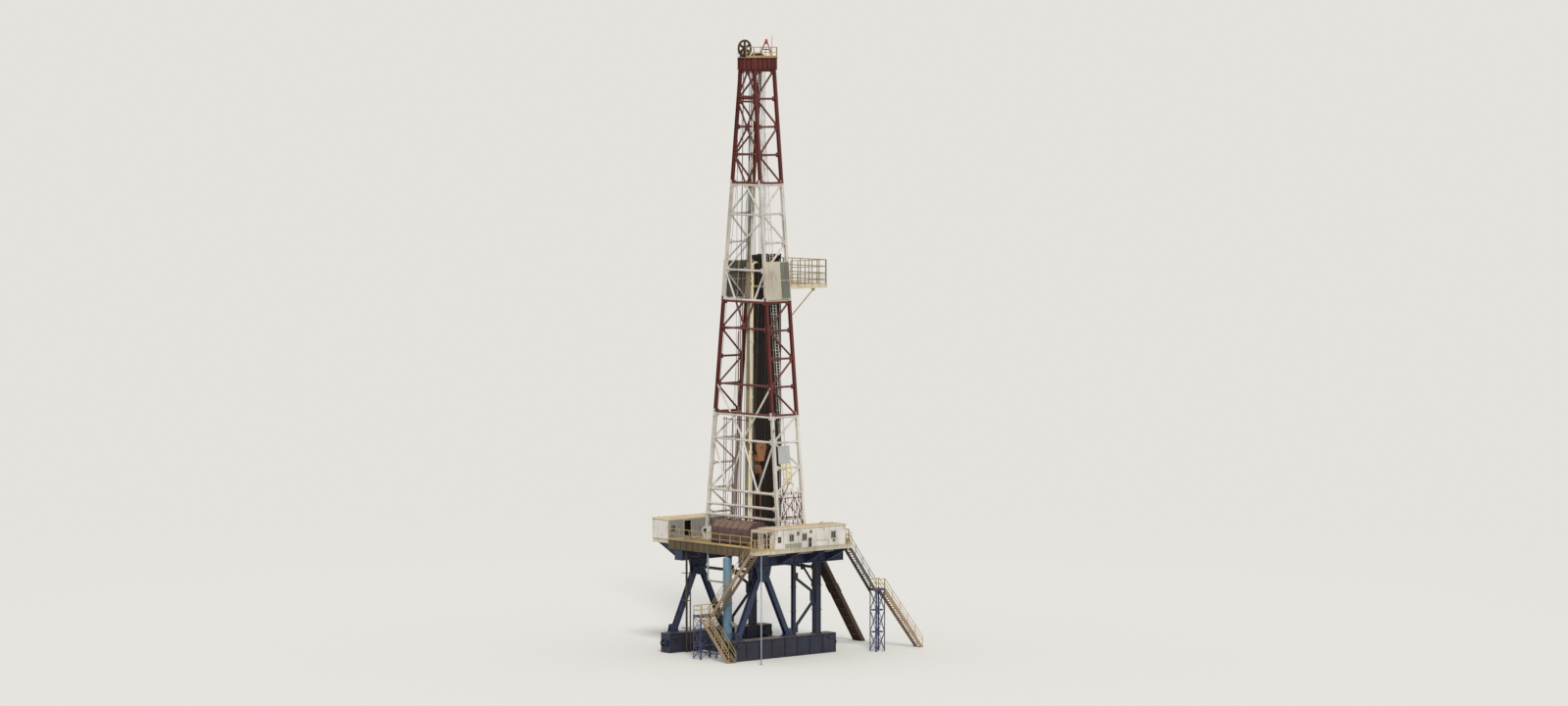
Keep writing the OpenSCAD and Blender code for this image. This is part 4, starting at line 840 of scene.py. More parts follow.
steel, low, high = begin("doghouse_roof")
ribbed_roof(steel, low, high, (low.x + 0.5, high.x - 0.5))
for x in (-1.3, 0.9):
    vent = Vector((x, -3.9, high.z))
    steel.tube(vent - upward * 0.02, vent + upward * 0.10, 0.05, 16)
    steel.ring(vent, upward, [(0.001, 0.085), (0.085, 0.085), (0.085, 0.105), (0.001, 0.145)], 16)
steel.done("doghouse_roof_sheets", roof_cream, 0.003)

# Porch: a small flat canopy on three posts at the doghouse's end door, of the same paint as the
# house. A rail runs under the canopy's outer edge.
steel, low, high = begin("porch")
canopy_t, post_x = 0.04, low.x + 0.02
ribbed_roof(steel, (low.x, low.y, high.z - canopy_t), high)
for y in (-4.44, -3.8125, -3.27):
    steel.bar((post_x, y, low.z), (post_x, y, high.z - canopy_t), 0.036, 0.036)
    steel.box((low.x, y - 0.035, low.z), (low.x + 0.055, min(y + 0.035, -3.25), low.z + 0.012))
    steel.bar((low.x + 0.03, y, high.z - 0.24), (low.x + 0.24, y, high.z - 0.045), 0.02, 0.02)
steel.bar((post_x, -4.44, high.z - 0.09), (post_x, -3.27, high.z - 0.09), 0.03, 0.07)
steel.done("porch_frame", house_frame, 0.002)

# Cabin: the grey house on the left platform, of the same sheet as the doghouse, with a window and an
# open doorway in its inner wall. Its end wall is white.
house_grey = paint("cabin_sheet", (134, 134, 128), "grey_house", rust=0.34, dust=0.32, gloss=0.5)
sheets, low, high = begin("cabin_walls")
cabin_window = opening(-2.85, 0.55, 0.28, 0.32)
end_wall, trim = Steel(), Steel()
house(trim, low, high, ((sheets, [cabin_window, doorway(-1.9)], 0.0), (sheets, [], 0.0), (end_wall, [], 0.0),
                        (sheets, [], 0.0)))
sheets.done("cabin_sheets", house_grey)
end_wall.done("cabin_end_sheet", house_white)
trim.done("cabin_frame", house_frame, 0.003)
steel, low, high = begin("cabin_roof")
ribbed_roof(steel, low, high, (low.x + 0.4, high.x - 0.4))
steel.done("cabin_roof_sheets", roof_cream, 0.003)

# Window panes: dark glass with some grime in all five windows, held by a crossbar in each. They sit
# half way in the wall.
glass = bpy.data.materials.new("window_glass")
glass.use_nodes = True
surface = glass.node_tree.nodes["Principled BSDF"]
surface.inputs["Base Color"].default_value = (0.02, 0.026, 0.032, 1)
surface.inputs["Specular IOR Level"].default_value = 0.7
grime = glass.node_tree.nodes.new("ShaderNodeTexNoise")
grime.inputs["Scale"].default_value = 9
grime_range = glass.node_tree.nodes.new("ShaderNodeMapRange")
grime_range.inputs["To Min"].default_value = 0.05
grime_range.inputs["To Max"].default_value = 0.4
link_nodes(glass.node_tree, (grime.outputs["Fac"], grime_range.inputs["Value"]),
           (grime_range.outputs[0], surface.inputs["Roughness"]))
steel, bars = Steel("window_panes"), Steel()
for (a, b, sill, head), y in [(window, -4.48) for window in windows] + [(cabin_window, 3.27)]:
    middle = (a + b) / 2
    steel.box((a, y - 0.003, sill), (b, y + 0.003, head))
    bars.box((middle - 0.008, y - 0.009, sill), (middle + 0.008, y + 0.009, head))
steel.done("window_glazing", glass, slot="window_glass")
bars.done("window_crossbars", house_frame)

# Stairs: steel flights with channel stringers, open grating treads and tube handrails on both
# sides. Two flights go down on the right side and two behind the floor.
stair_tan = paint("stair_paint", (148, 122, 90), rust=0.42, dust=0.35)
stair_dark = paint("stair_dark_steel", (76, 70, 64), "stair_paint", rust=0.45, fade=0.4)
stair_wide, stringer_deep, tread_deep, step_max = 0.5, 0.24, 0.125, 0.13
hand_high, knee_high, lip_t, lip_wide = 0.5, 0.27, 0.012, 0.03


def stair(name, start, along, way, run, drop, flight_paint=stair_tan, tube_paint=rail_yellow):
    """A flight down from the middle of its top edge. It goes way along X or Y, so far and so deep."""
    on_ground, words = drop == start[2], name.split("_")
    steel, rails = Steel("%s_stair_%s" % tuple(words[:2])), Steel()
    base, middle = (start[0], start[1]) if along == "x" else (start[1], start[0])
    slope, half = run / drop, stair_wide / 2

    def at(distance, across, z):
        return on_wall(along, base + way * distance, middle + across, start[2] + z)

    def strip(high, low, y0, y1):
        """A strip that follows the flight between two heights under its edge line."""
        foot = [(run + z * slope, -drop) if on_ground else (run, z - drop) for z in (low, high)]
        outline = [(base + way * d, start[2] + z) for d, z in [(0, high), (0, low)] + foot]
        steel.plate(outline, "y" if along == "x" else "x", middle + y0, middle + y1)

    last = run - 0.04 if on_ground else run
    for side in (-1, 1):
        edge, web = side * half, side * (half - 0.008)
        strip(0, -stringer_deep, edge, web)
        strip(0, -lip_t, web, side * (half - lip_wide))
        strip(-stringer_deep + lip_t, -stringer_deep, web, side * (half - lip_wide))
        inset = side * (half - 0.02)
        for h in (hand_high, knee_high):
            rails.tube(at(0, inset, h), at(last, inset, h - last / slope), 0.016, 8)
        for d in spaced(0, last, max(2, round(math.hypot(run, drop) / 0.85)) + 1):
            rails.tube(at(d, inset, -0.03 - d / slope), at(d, inset, hand_high - d / slope), 0.015, 8)
    half -= 0.012
    for d in spaced(0, run, math.ceil(drop / step_max) + 1)[1:-1]:
        z, front, back = -d / slope - stringer_deep / 2, d + tread_deep * 0.65, d - tread_deep * 0.35
        for p in (back, front - 0.012):
            steel.box(at(p, -half, z), at(p + 0.012, half, z + 0.02))
        for q in spaced(0.01 - half, half - 0.01, 13):
            steel.box(at(back + 0.012, q - 0.003, z + 0.002), at(front - 0.012, q + 0.003, z + 0.018))
    steel.done(name, flight_paint)
    rails.done(name + "_rails", tube_paint, slot="rail_paint")


stair("right_upper_flight", (2.45, -4.0, 5.65), "x", 1, 1.85, 2.45, stair_dark, stair_dark)
stair("right_lower_flight", (4.9, -4.0, 3.2), "x", 1, 2.65, 3.2)
stair("rear_upper_flight", (-3.7, -4.1, 5.65), "y", 1, 3.15, 3.45)
stair("rear_lower_flight", (-4.3, -0.95, 2.2), "y", -1, 2.2, 2.2)

# Stair landings: a grating deck on four braced angle legs with foot plates, in faded blue, with a
# guard rail on the sides where no flight joins.
faded_blue = paint("faded_blue_paint", (44, 58, 98), "blue_paint", rust=0.36, dust=0.35)
angle_wide, angle_t, pad_wide = 0.06, 0.01, 0.12
for node in ("right_landing", "rear_landing"):
    steel, low, high = begin(node)
    rails = Steel()
    deck_low = high.z - 0.1
    for x, x_way, y, y_way in corners(low, high):
        steel.box((x, y, 0), (x + x_way * pad_wide, y + y_way * pad_wide, 0.012))
        for x_deep, y_deep in ((angle_wide, angle_t), (angle_t, angle_wide)):
            steel.box((x, y, 0.01), (x + x_way * x_deep, y + y_way * y_deep, deck_low))
    levels = [0.05, high.z * 0.3 + 0.03, high.z * 0.65 + 0.03, deck_low]
    for axis, a, b, sides in (("x", low.x, high.x, (low.y, high.y)), ("y", low.y, high.y, (low.x, high.x))):
        for side in (sides[0] + 0.012, sides[1] - 0.012):
            for z in levels[1:3]:
                steel.bar(on_wall(axis, a + 0.004, side, z), on_wall(axis, b - 0.004, side, z), 0.014, 0.05)
            for z0, z1 in zip(levels, levels[1:]):
                for start, end, at in ((a + 0.02, b - 0.02, side), (b - 0.02, a + 0.02, side + 0.006)):
                    steel.bar(on_wall(axis, start, at, z0), on_wall(axis, end, at, z1), 0.012, 0.03)
    steel.rim((low.x, low.y, deck_low), high, 0.02)
    for x in spaced(low.x, high.x, round((high.x - low.x) / 0.03) + 1)[1:-1]:
        steel.box((x - 0.003, low.y + 0.02, high.z - 0.028), (x + 0.003, high.y - 0.02, high.z - 0.002))
    for y in spaced(low.y, high.y, 6)[1:-1]:
        steel.box((low.x + 0.02, y - 0.004, high.z - 0.032), (high.x - 0.02, y + 0.004, high.z - 0.008))
    steel.done(node + "_tower", faded_blue)
    inset = 0.029
    x0, y0, x1, y1 = low.x + inset, low.y + inset, high.x - inset, high.y - inset
    rail_sides = [(x0, y1, x1, y1)]
    rail_sides += [(x0, y0, x1, y0)] if node == "right_landing" else [(x0, y0, x0, y1), (x1, y0, x1, y1)]
    for ax, ay, bx, by in rail_sides:
        guard_rail(rails, (ax, ay, high.z), (bx, by, high.z), 0.5, False, 0.6)
    rails.done(node + "_rails", rail_yellow)

# V-door ramp: the slide that pipe is dragged up, a ribbed steel bed between two side walls, in two
# bolted lengths. The steel is bare, dark and rusty, and hangs from the floor by pinned lugs.
ramp_rust = paint("ramp_steel", (66, 52, 46), "rusty_steel", rust=0.55, dust=0.4, fade=0.4, gloss=0.62)
ramp_top, ramp_foot = Vector((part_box("v_door_ramp")[0].x, 0, 5.6)), Vector((6.9, 0, 0))
ramp_half, ramp_deep, ramp_wall, wall_lip = 0.35, 0.15, 0.25, 0.02
ramp_slope = (ramp_foot.x - ramp_top.x) / ramp_top.z
steel = Steel("v_door_ramp")


def ramp_strip(high, low, y0, y1):
    """A strip that follows the ramp between two heights over its bed."""
    outline = [(ramp_top.x, ramp_top.z + high), (ramp_top.x, ramp_top.z + low)]
    steel.plate(outline + [(ramp_foot.x + z * ramp_slope, 0) for z in (low, high)], "y", y0, y1)


web_out, web_in, flange_in = ramp_half - 0.012, ramp_half - 0.026, ramp_half - 0.045
ramp_strip(0, -0.02, -web_out, web_out)
for side in (-1, 1):
    ramp_strip(ramp_wall, -ramp_deep, side * web_out, side * web_in)
    ramp_strip(ramp_wall, ramp_wall - 0.03, side * ramp_half, side * flange_in)
    ramp_strip(-ramp_deep + wall_lip, -ramp_deep, side * ramp_half, side * flange_in)
    steel.block(ramp_top.x + 0.02, side * 0.29, 0.04, 0.02, ramp_top.z - 0.18, ramp_top.z)
for y in (-0.2, 0, 0.2):
    ramp_strip(0.014, 0, y - 0.02, y + 0.02)
    ramp_strip(-0.02, -ramp_deep + 0.01, y - 0.008, y + 0.008)
run = (ramp_foot - ramp_top).normalized()
for i in range(1, 12):
    spot = ramp_top.lerp(ramp_foot, i / 12)
    across, rib = aside * 0.33, spot - upward * 0.08
    steel.bar(rib - across, rib + across, 0.02, 0.11, (run.z, 0, -run.x))
    for side in (-1, 1):
        foot = spot + Vector((0, side * (ramp_half - 0.006), -ramp_deep + wall_lip))
        steel.bar(foot, foot + upward * (ramp_wall + ramp_deep - 0.05), 0.02, 0.011, aside)
for side in (-1, 1):
    off = Vector((0, side * (ramp_half + 0.004), 0.05))
    a, b = ramp_top.lerp(ramp_foot, 0.46) + off, ramp_top.lerp(ramp_foot, 0.54) + off
    steel.bar(a, b, 0.016, 0.26)
    for k in range(5):
        for lift in (-0.08, 0.08):
            bolt = a.lerp(b, (k + 0.5) / 5) + upward * lift
            steel.tube(bolt, bolt + aside * side * 0.02, 0.014, 6)
steel.done("v_door_slide", ramp_rust, 0.002)

# Drawworks: the hoist that winds the fast line, in a sheet-metal house with cut-back upper edges on a
# heavy skid. It has bolted ribs, louvred doors, round brake covers at the ends and a rope slot on top.
mauve = paint("drawworks_paint", (84, 62, 62), "machine_paint", rust=0.4, dust=0.4)
steel, low, high = begin("drawworks")
skid_high, house_in, cut = 0.16, 0.03, 0.3125
middle, skid_z, house_low = (low.x + high.x) / 2, low.z + skid_high / 2, low.z + skid_high


def house_outline(inset):
    half, top = high.x - middle - inset, high.z - inset
    return mirrored(middle, [(half, house_low), (half, top - cut), (half - cut, top)])


for x in (low.x + 0.1, high.x - 0.1):
    steel.beam((x, low.y, skid_z), (x, high.y, skid_z), 0.18, skid_high, 0.02)
for y in spaced(low.y + 0.06, high.y - 0.06, 7):
    steel.beam((low.x + 0.02, y, skid_z), (high.x - 0.02, y, skid_z), 0.1, skid_high - 0.02, 0.015)
steel.plate(house_outline(house_in), "y", low.y + 0.06, high.y - 0.06)
ribs_y = spaced(low.y + 0.05, high.y - 0.09, 7)
for y in ribs_y:
    steel.plate(house_outline(0.012), "y", y, y + 0.04)
steel.box((low.x, low.y + 0.03, house_low - 0.01), (high.x, high.y - 0.03, house_low + 0.03))
handle = ((0.012, 0.48), (0.028, 0.49), (0.028, 0.61), (0.012, 0.62))
for i, (y0, y1) in enumerate(zip(ribs_y, ribs_y[1:])):
    y0, y1 = y0 + 0.08, y1 - 0.04
    for x, way in ((low.x + house_in, -1), (high.x - house_in, 1)):
        steel.box((x, y0, low.z + 0.28), (x + way * 0.012, y1, low.z + 0.80))
        if i % 2:
            louvre_x = x + way * 0.018
            for z in spaced(low.z + 0.36, low.z + 0.72, 7):
                steel.bar((louvre_x, y0 + 0.04, z), (louvre_x, y1 - 0.04, z), 0.016, 0.03, (way * 0.7, 0, 1))
        else:
            steel.bend([(x + way * out, y1 - 0.08, low.z + z) for out, z in handle], 0.006, 6)
brake_cover = [(0.001, -0.01), (0.36, -0.01), (0.36, 0.022), (0.30, 0.034), (0.12, 0.034), (0.11, 0.048),
               (0.001, 0.048)]
for y, way in ((low.y + 0.05, -1), (high.y - 0.05, 1)):
    centre = Vector((middle, y, low.z + 0.62))
    steel.ring(centre, aside * way, brake_cover, 40)
    for x, z in circle(10, 0.33):
        bolt = centre + Vector((x, way * 0.02, z))
        steel.tube(bolt, bolt + aside * way * 0.014, 0.014, 6)
steel.box((middle - 0.22, -2.2, high.z - house_in), (middle + 0.22, -1.7, high.z - 0.008))
for y in (-1.32, -0.48):
    steel.cheek(mirrored(middle, [(0.10, high.z - house_in), (0.06, high.z + 0.10)]), y, 0.02)
for x in (middle - 0.035, middle + 0.035):
    steel.pin((x, -0.9, high.z + 0.06), 0.43, 0.022, 10)
for x in (low.x + 0.40, high.x - 0.40):
    for y in (low.y + 0.25, high.y - 0.25):
        steel.cheek(mirrored(x, [(0.05, high.z - 0.03), (0.02, high.z + 0.06)]), y, 0.018)
steel.done("drawworks_house", mauve, 0.005)

# Upright vessel: a rolled steel separator under the floor, with weld bands, a dished head, flanged
# nozzles, a sight tube and a clamped vent neck. It is painted a lighter blue than the beams.
vessel_blue = paint("vessel_paint", (80, 122, 144), "blue_paint", rust=0.36)
steel, low, high = begin("separator_vessel")
centre = Vector(((low.x + high.x) / 2, (low.y + high.y) / 2, 0))
shell_r, head_z, neck_r, neck_top = 0.222, 4.9875, 0.0495, 5.3
profile = [(0.001, 0.14), (shell_r, 0.14)]
for z in (1.3, 2.5, 3.7):
    weld = ((0, -0.02), (0.003, -0.014), (0.003, 0.014), (0, 0.02))
    profile += [(shell_r + out, z + up) for out, up in weld]
profile += [(shell_r, head_z)] + [(r, head_z + z) for r, z in arc(11.25, 67.5, 6, shell_r, 0.115)]
profile += [(neck_r, head_z + 0.112), (neck_r, neck_top), (0.001, neck_top)]
steel.ring(centre, upward, profile, 40)
for section, sides in ((band(0.17, 0.215, 0.012, 0.15), 40), (band(0.10, 0.2245, 0, 0.016), 40),
                       (band(0.02, 0.085, 5.16, 5.2), 20)):
    steel.ring(centre, upward, section, sides)
nozzles = ((math.pi, 0.6, 0.05, 0.12), (math.pi, 3.2, 0.04, 0.10), (-math.pi / 2, 1.8, 0.06, 0.12),
           (-0.3, 4.3, 0.05, 0.12))
for turn, z, r, reach in nozzles:
    way = Vector((math.cos(turn), math.sin(turn), 0))
    start = centre + upward * z + way * (shell_r - 0.02)
    steel.tube(start, start + way * reach, r, 14)
    for gap in (0, 0.026):
        steel.tube(start + way * (reach - 0.02 + gap), start + way * (reach + gap), r * 1.6, 16)
sight = centre + Vector((-0.20, -0.17, 0))
steel.tube(sight + upward * 0.9, sight + upward * 2.3, 0.012, 8)
for z in (0.9, 2.3):
    steel.tube(sight + Vector((0.06, 0.06, z)), sight + upward * z, 0.018, 8)
steel.done("separator_shell", vessel_blue)

# Vessel lines: two flanged pipes with elbows, one from the floor into the vessel's side and one from
# the vessel down to the ground, and two dark supply pipes at the left rear.
pipe_grey = paint("line_pipe_paint", (132, 142, 128), "blue_paint", rust=0.42)
pipe_dark = paint("line_pipe_dark", (46, 44, 44), "dark_steel", rust=0.4, fade=0.4)


def pipe_line(steel, points, r, turn_r=0.16, flanges=1):
    """A welded pipe line with round elbows, and a flange at its first end or at both."""
    points = [Vector(p) for p in points]
    route = [points[0]]
    for before, elbow, after in zip(points, points[1:], points[2:]):
        start, end = [elbow + (p - elbow).normalized() * turn_r for p in (before, after)]
        route += [start * (1 - t) ** 2 + elbow * 2 * t * (1 - t) + end * t ** 2 for t in spaced(0, 1, 7)]
    steel.bend(route + [points[-1]], r, 12)
    for end, inner in ((points[0], points[1]), (points[-1], points[-2]))[:flanges]:
        way = (inner - end).normalized()
        for gap in (0, 0.026):
            steel.tube(end + way * gap, end + way * (gap + 0.02), r * 1.7, 16)


steel, dark_pipes = Steel(), Steel()
x, y, x1 = centre.x, centre.y, -2.86
pipe_line(steel, [(x, y + shell_r - 0.01, 3.8), (x, 0.22, 3.8), (x, 0.22, neck_top)], 0.045)
pipe_line(steel, [(x, y - shell_r - 0.1, 1.8), (x, -1.95, 1.8), (x, -1.95, 0)], 0.05, flanges=2)
pipe_line(dark_pipes, [(-3.02, 2.0, 0), (-3.02, 2.0, 5.3)], 0.055)
pipe_line(dark_pipes, [(x1, 1.9, 0), (x1, 1.9, 4.9), (x1, 1.2, 4.9), (x1, 1.2, 5.3)], 0.035, 0.12)
for z in (1.2, 2.6, 4.0):
    dark_pipes.box((-3.09, 1.93, z), (-2.80, 2.07, z + 0.03))
    dark_pipes.box((-3.06, 2.06, z), (-3.0, 2.38, z + 0.03))
steel.done("vessel_line_pipes", pipe_grey)
dark_pipes.done("supply_pipes", pipe_dark)

# Mast sides: four bolted sections, painted in turn cream white and oxide red. Each side is a pair of
# H-section legs with level tubes and zigzag tubes between them, and gussets where they meet.
mast_white = paint("mast_white", (203, 197, 187), "white_mast", rust=0.38, dust=0.25)
mast_red = paint("mast_red", (90, 19, 17), "red_mast", rust=0.32, dust=0.2, fade=0.45,
                 rust_colour=(64, 30, 24))
mast_foot, mast_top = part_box("mast_1_left")[0].z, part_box("mast_4_left")[1].z
joint_z = (mast_foot, 12.1, 17.85, 23.75, mast_top)
leg_wide = 0.15
girt_r, low_girt_r, brace_r, shoe_high, shoe_t = 0.055, 0.072, 0.05, 0.45, 0.035


def tapered(at_foot, at_top):
    """A measure of the mast that changes evenly with the height, from its foot to its top."""
    return lambda z: at_foot + (at_top - at_foot) * (z - mast_foot) / (mast_top - mast_foot)


half_width, rear_x, front_x = tapered(2.922, 0.6125), tapered(-1.025, -0.65), tapered(0.725, 0.65)


def on_leg(share, leg_x, z):
    """A point on a leg's middle line, 1 for the left leg and -1 for the right, or between the two."""
    return Vector((leg_x(z), share * (half_width(z) - leg_wide / 2), z))


def leg_joint(steel, x, y, z):
    """Splice plates on a leg's flanges, with the pins through them and an end plate between."""
    for way in (-1, 1):
        steel.block(x + way * (leg_wide / 2 + 0.008), y, 0.008, 0.06, z - 0.19, z + 0.19)
        steel.tube((x - 0.115, y, z + way * 0.11), (x + 0.115, y, z + way * 0.11), 0.026, 10)
    steel.block(x, y, 0.092, 0.092, z - 0.022, z + 0.022)


def leg_shoe(steel, x, y, z):
    """A foot plate with two cheeks, ribs and a pin with nuts."""
    base, pin_z = z + shoe_t, z + 0.27
    steel.block(x, y, 0.21, 0.21, z, base)
    steel.pin((x, y, pin_z), 0.19, 0.06)
    for way in (-1, 1):
        steel.cheek(mirrored(x, [(0.20, base), (0.12, z + shoe_high)]), y + way * 0.115, 0.036)
        steel.block(x + way * 0.15, y, 0.012, 0.20, base, z + 0.14)
        steel.tube((x, y + way * 0.17, pin_z), (x, y + way * 0.20, pin_z), 0.085, 6)


sections = []
for i, panels in enumerate((5, 4, 4, 4)):
    coat = (mast_white, mast_red)[i % 2]
    sections.append((i + 1, joint_z[i], joint_z[i + 1], joint_z[i] + (0 if i else shoe_high), panels, coat))
for number, z0, z1, foot, panels, coat in sections:
    for side, side_name in ((1, "left"), (-1, "right")):
        steel = Steel("mast_%d_%s" % (number, side_name))
        for leg_x in (rear_x, front_x):
            start = z0 + 0.10 if number == 1 else z0
            steel.beam(on_leg(side, leg_x, start), on_leg(side, leg_x, z1), leg_wide, leg_wide, 0.02, aside)
            if number < 4:
                leg_joint(steel, *on_leg(side, leg_x, z1))
            if number == 1:
                leg_shoe(steel, *on_leg(side, leg_x, z0))
        for z in spaced(z0 + 0.05, z1 - 0.05, panels + 1):
            z = max(z, foot + 0.05)
            a, b = on_leg(side, rear_x, z), on_leg(side, front_x, z)
            steel.tube(a, b, girt_r, 12)
            for end, way in ((a, ahead), (b, -ahead)):
                steel.bar(end + way * 0.06, end + way * 0.25, 0.012, 0.24)
        levels = spaced(z0, z1, panels + 1)
        for k in range(panels):
            start, end = (front_x, rear_x) if (panels - k) % 2 == 0 else (rear_x, front_x)
            a, b = on_leg(side, start, levels[k]), on_leg(side, end, levels[k + 1])
            if a.z < foot:
                a = a.lerp(b, (foot + 0.03 - a.z) / (b.z - a.z))
            steel.tube(a, b, brace_r, 10)
        steel.done("mast_side_%d_%s" % (number, side_name), coat, 0.002)

# Mast back: level tubes and V braces between the two rear legs. The lowest three tubes are thicker and
# close together over the drawworks. One V in the red section keeps a white coat.
back_girts = (6.9, 7.45, 8.2, 10.8, 13.6, 16.45, 19.4, 22.2, 25.25, 27.9, 28.15)
back_braces = [(-0.45, 8.25, 0, 10.75), (0, 10.75, 0.45, 8.25), (-1, 21.9, 1, 19.9), (-1, 22.15, 0, 23.65)]
back_v = ((13.55, 10.85), (19.35, 16.5), (25.2, 23.7), (25.3, 26.55), (27.85, 26.6), (28.2, 29.4))
for side in (-1, 1):
    back_braces.append((side, 10.75, side * 0.45, 8.25))
    back_braces += [(side, leg_z, 0, middle_z) for leg_z, middle_z in back_v]
white_v_z, thick_below = 10.85, 9
white_v = Steel()
for number, z0, z1, foot, panels, coat in sections:
    steel, gussets = Steel("mast_%d_back" % number), set()
    for z in [foot + 0.05, z1 - 0.05] + [girt for girt in back_girts if z0 < girt < z1]:
        ends = on_leg(-1, rear_x, z), on_leg(1, rear_x, z)
        steel.tube(*ends, low_girt_r if z < thick_below else girt_r, 12)
        for end, inward in zip(ends, (aside, -aside)):
            steel.bar(end + inward * 0.07, end + inward * 0.28, 0.012, 0.26)
    for brace in back_braces:
        ends = [on_leg(share, rear_x, z) for share, z in (brace[:2], brace[2:])]
        a, b = sorted(ends, key=lambda end: end.z)
        if b.z <= z0 or a.z >= z1:
            continue
        start, end = max(0.0, (z0 - a.z) / (b.z - a.z)), min(1.0, (z1 - a.z) / (b.z - a.z))
        part = white_v if number == 2 and min(brace[1], brace[3]) == white_v_z else steel
        part.tube(a.lerp(b, start), a.lerp(b, end), brace_r, 10)
        for spot, share in ((a, start), (b, 1 - end)):
            place = (round(spot.y, 2), round(spot.z, 2))
            if share == 0 and abs(spot.y) < half_width(spot.z) * 0.7 and place not in gussets:
                gussets.add(place)
                part.bar(spot - aside * 0.17, spot + aside * 0.17, 0.012, 0.22)
    steel.done("mast_back_%d" % number, coat)
white_v.done("mast_back_white_v", mast_white)

# Mast ladder: tube rails and rungs inside the right side, with the hoops and upright bars of a safety
# cage. It is welded steel in the white of the mast.
ladder_x0, ladder_x1, ladder_out, rung_pitch = -0.375, -0.125, -0.14, 0.15
cage_foot, cage_head = mast_foot + 1.3, mast_top - 0.2
ladder_middle = (ladder_x0 + ladder_x1) / 2
cage = [(ladder_middle - x, ladder_out - reach) for x, reach in arc(0, 180, 9, 0.17, 0.30)]
steel = Steel("mast_ladder")


def on_side(x, z, out, side=-1):
    """A point so far out from the mast's right face, or its left one."""
    return Vector((x, side * (half_width(z) + out), z))


for x in (ladder_x0 + 0.015, ladder_x1 - 0.015):
    steel.tube(on_side(x, mast_foot, ladder_out), on_side(x, mast_top, ladder_out), 0.015, 8)
for i in range(1, int((mast_top - mast_foot) / rung_pitch)):
    z = mast_foot + i * rung_pitch
    steel.tube(on_side(ladder_x0 + 0.01, z, ladder_out), on_side(ladder_x1 - 0.01, z, ladder_out), 0.008, 6)
for z in spaced(cage_foot, cage_head, 38):
    steel.bend([on_side(x, z, out) for x, out in cage], 0.007, 5)
for x, out in (cage[1], cage[4], cage[7]):
    steel.tube(on_side(x, cage_foot, out), on_side(x, cage_head, out), 0.006, 5)
steel.done("mast_ladder_tubes", mast_white)

# Mud riser: a thick pale pipe clamped inside the back, with hammer unions at its joints. Its curved
# neck at the top carries the dark mud line.
riser_cream = paint("riser_paint", (208, 194, 152), "white_mast", rust=0.32, dust=0.25, fade=0.4)
riser_y, riser_r, riser_top, neck_turn_r = -0.475, 0.06, 19.79, 0.15


def by_back(y, z, off=0.12):
    return Vector((rear_x(z) + off, y, z))


steel = Steel("standpipe")
start = by_back(riser_y, riser_top - neck_turn_r, 0.1)
steel.tube(by_back(riser_y, mast_foot, 0.1), start, riser_r, 16)
neck = [start + Vector((neck_turn_r - x, 0, z)) for x, z in arc(0, 90, 7, neck_turn_r)]
neck.append(neck[-1] + ahead * 0.10)
steel.bend(neck, riser_r * 0.92, 14)
union = [(riser_r - 0.01, -0.05), (riser_r + 0.02, -0.05), (riser_r + 0.032, -0.02), (riser_r + 0.032, 0.02),
         (riser_r + 0.02, 0.05), (riser_r - 0.01, 0.05)]
for z in (7.4, 10.2, 13.0, 15.8, 18.6):
    steel.ring(by_back(riser_y, z, 0.1), upward, union, 16)
for z in back_girts:
    if z < riser_top:
        spot = by_back(riser_y, z, 0.1)
        steel.box(spot - Vector((0.10, 0.085, 0.02)), spot + Vector((0.075, 0.085, 0.02)))
steel.done("mud_riser", riser_cream)

# Service lines: a cable tray up the mast's back with air and oil lines beside it, and the dark mud line
# that comes down from the riser's neck. All are steel lines or taut cables, clamped from end to end.
tray_brown = paint("cable_tray_paint", (126, 112, 74), "rail_paint", rust=0.42)
rubber = paint("hose_rubber", (38, 36, 35), "dark_steel", rust=0.15, fade=0.3, gloss=0.6)
hose_brown = paint("hose_brown", (104, 58, 46), "red_mast", rust=0.35, dust=0.25)
tray_y, tray_half, tray_foot, tray_head, crown_low = -0.16, 0.1, 6.2, 19.8, 29.4
tray, lines, hoses, pale_line = Steel(), Steel(), Steel(), Steel()
for y in (tray_y - tray_half, tray_y + tray_half):
    tray.bar(by_back(y, tray_foot), by_back(y, tray_head), 0.008, 0.06)
half_step = (tray_head - tray_foot) / 92
for z in spaced(tray_foot + half_step, tray_head - half_step, 46):
    tray.bar(by_back(tray_y - tray_half, z, 0.10), by_back(tray_y + tray_half, z, 0.10), 0.012, 0.03)
tray.bar(by_back(tray_y, tray_foot, 0.095), by_back(tray_y, tray_head, 0.095), 0.004, 2 * tray_half, aside)
for y, head_z, r in ((-0.23, tray_head, 0.02), (-0.184, crown_low, 0.014), (-0.138, tray_head, 0.024),
                     (-0.092, 26.5, 0.014)):
    lines.tube(by_back(y, mast_foot + 0.02, 0.135), by_back(y, head_z, 0.135), r, 8)
for y, foot_z, head_z, r in ((0.43, mast_foot, crown_low, 0.02), (-0.065, tray_head, crown_low, 0.018),
                             (0.05, mast_foot, 23.6, 0.012)):
    lines.tube(by_back(y, foot_z, 0.10), by_back(y, head_z, 0.10), r, 8)
for y, head_z, r in ((0.93, 11.9, 0.026), (0.56, 16.3, 0.030), (0.28, 19.46, 0.028), (1.45, 11.9, 0.018),
                     (1.62, 11.9, 0.018)):
    hoses.tube(by_back(y, mast_foot, 0.095), by_back(y, head_z, 0.095), r, 10)
for z in [girt for girt in back_girts if girt < 19.5] + [11.8]:
    last_y = 0.6 if z > 12 else 1.68
    hoses.box(by_back(-0.30, z, 0.05) - upward * 0.02, by_back(last_y, z, 0.075) + upward * 0.02)
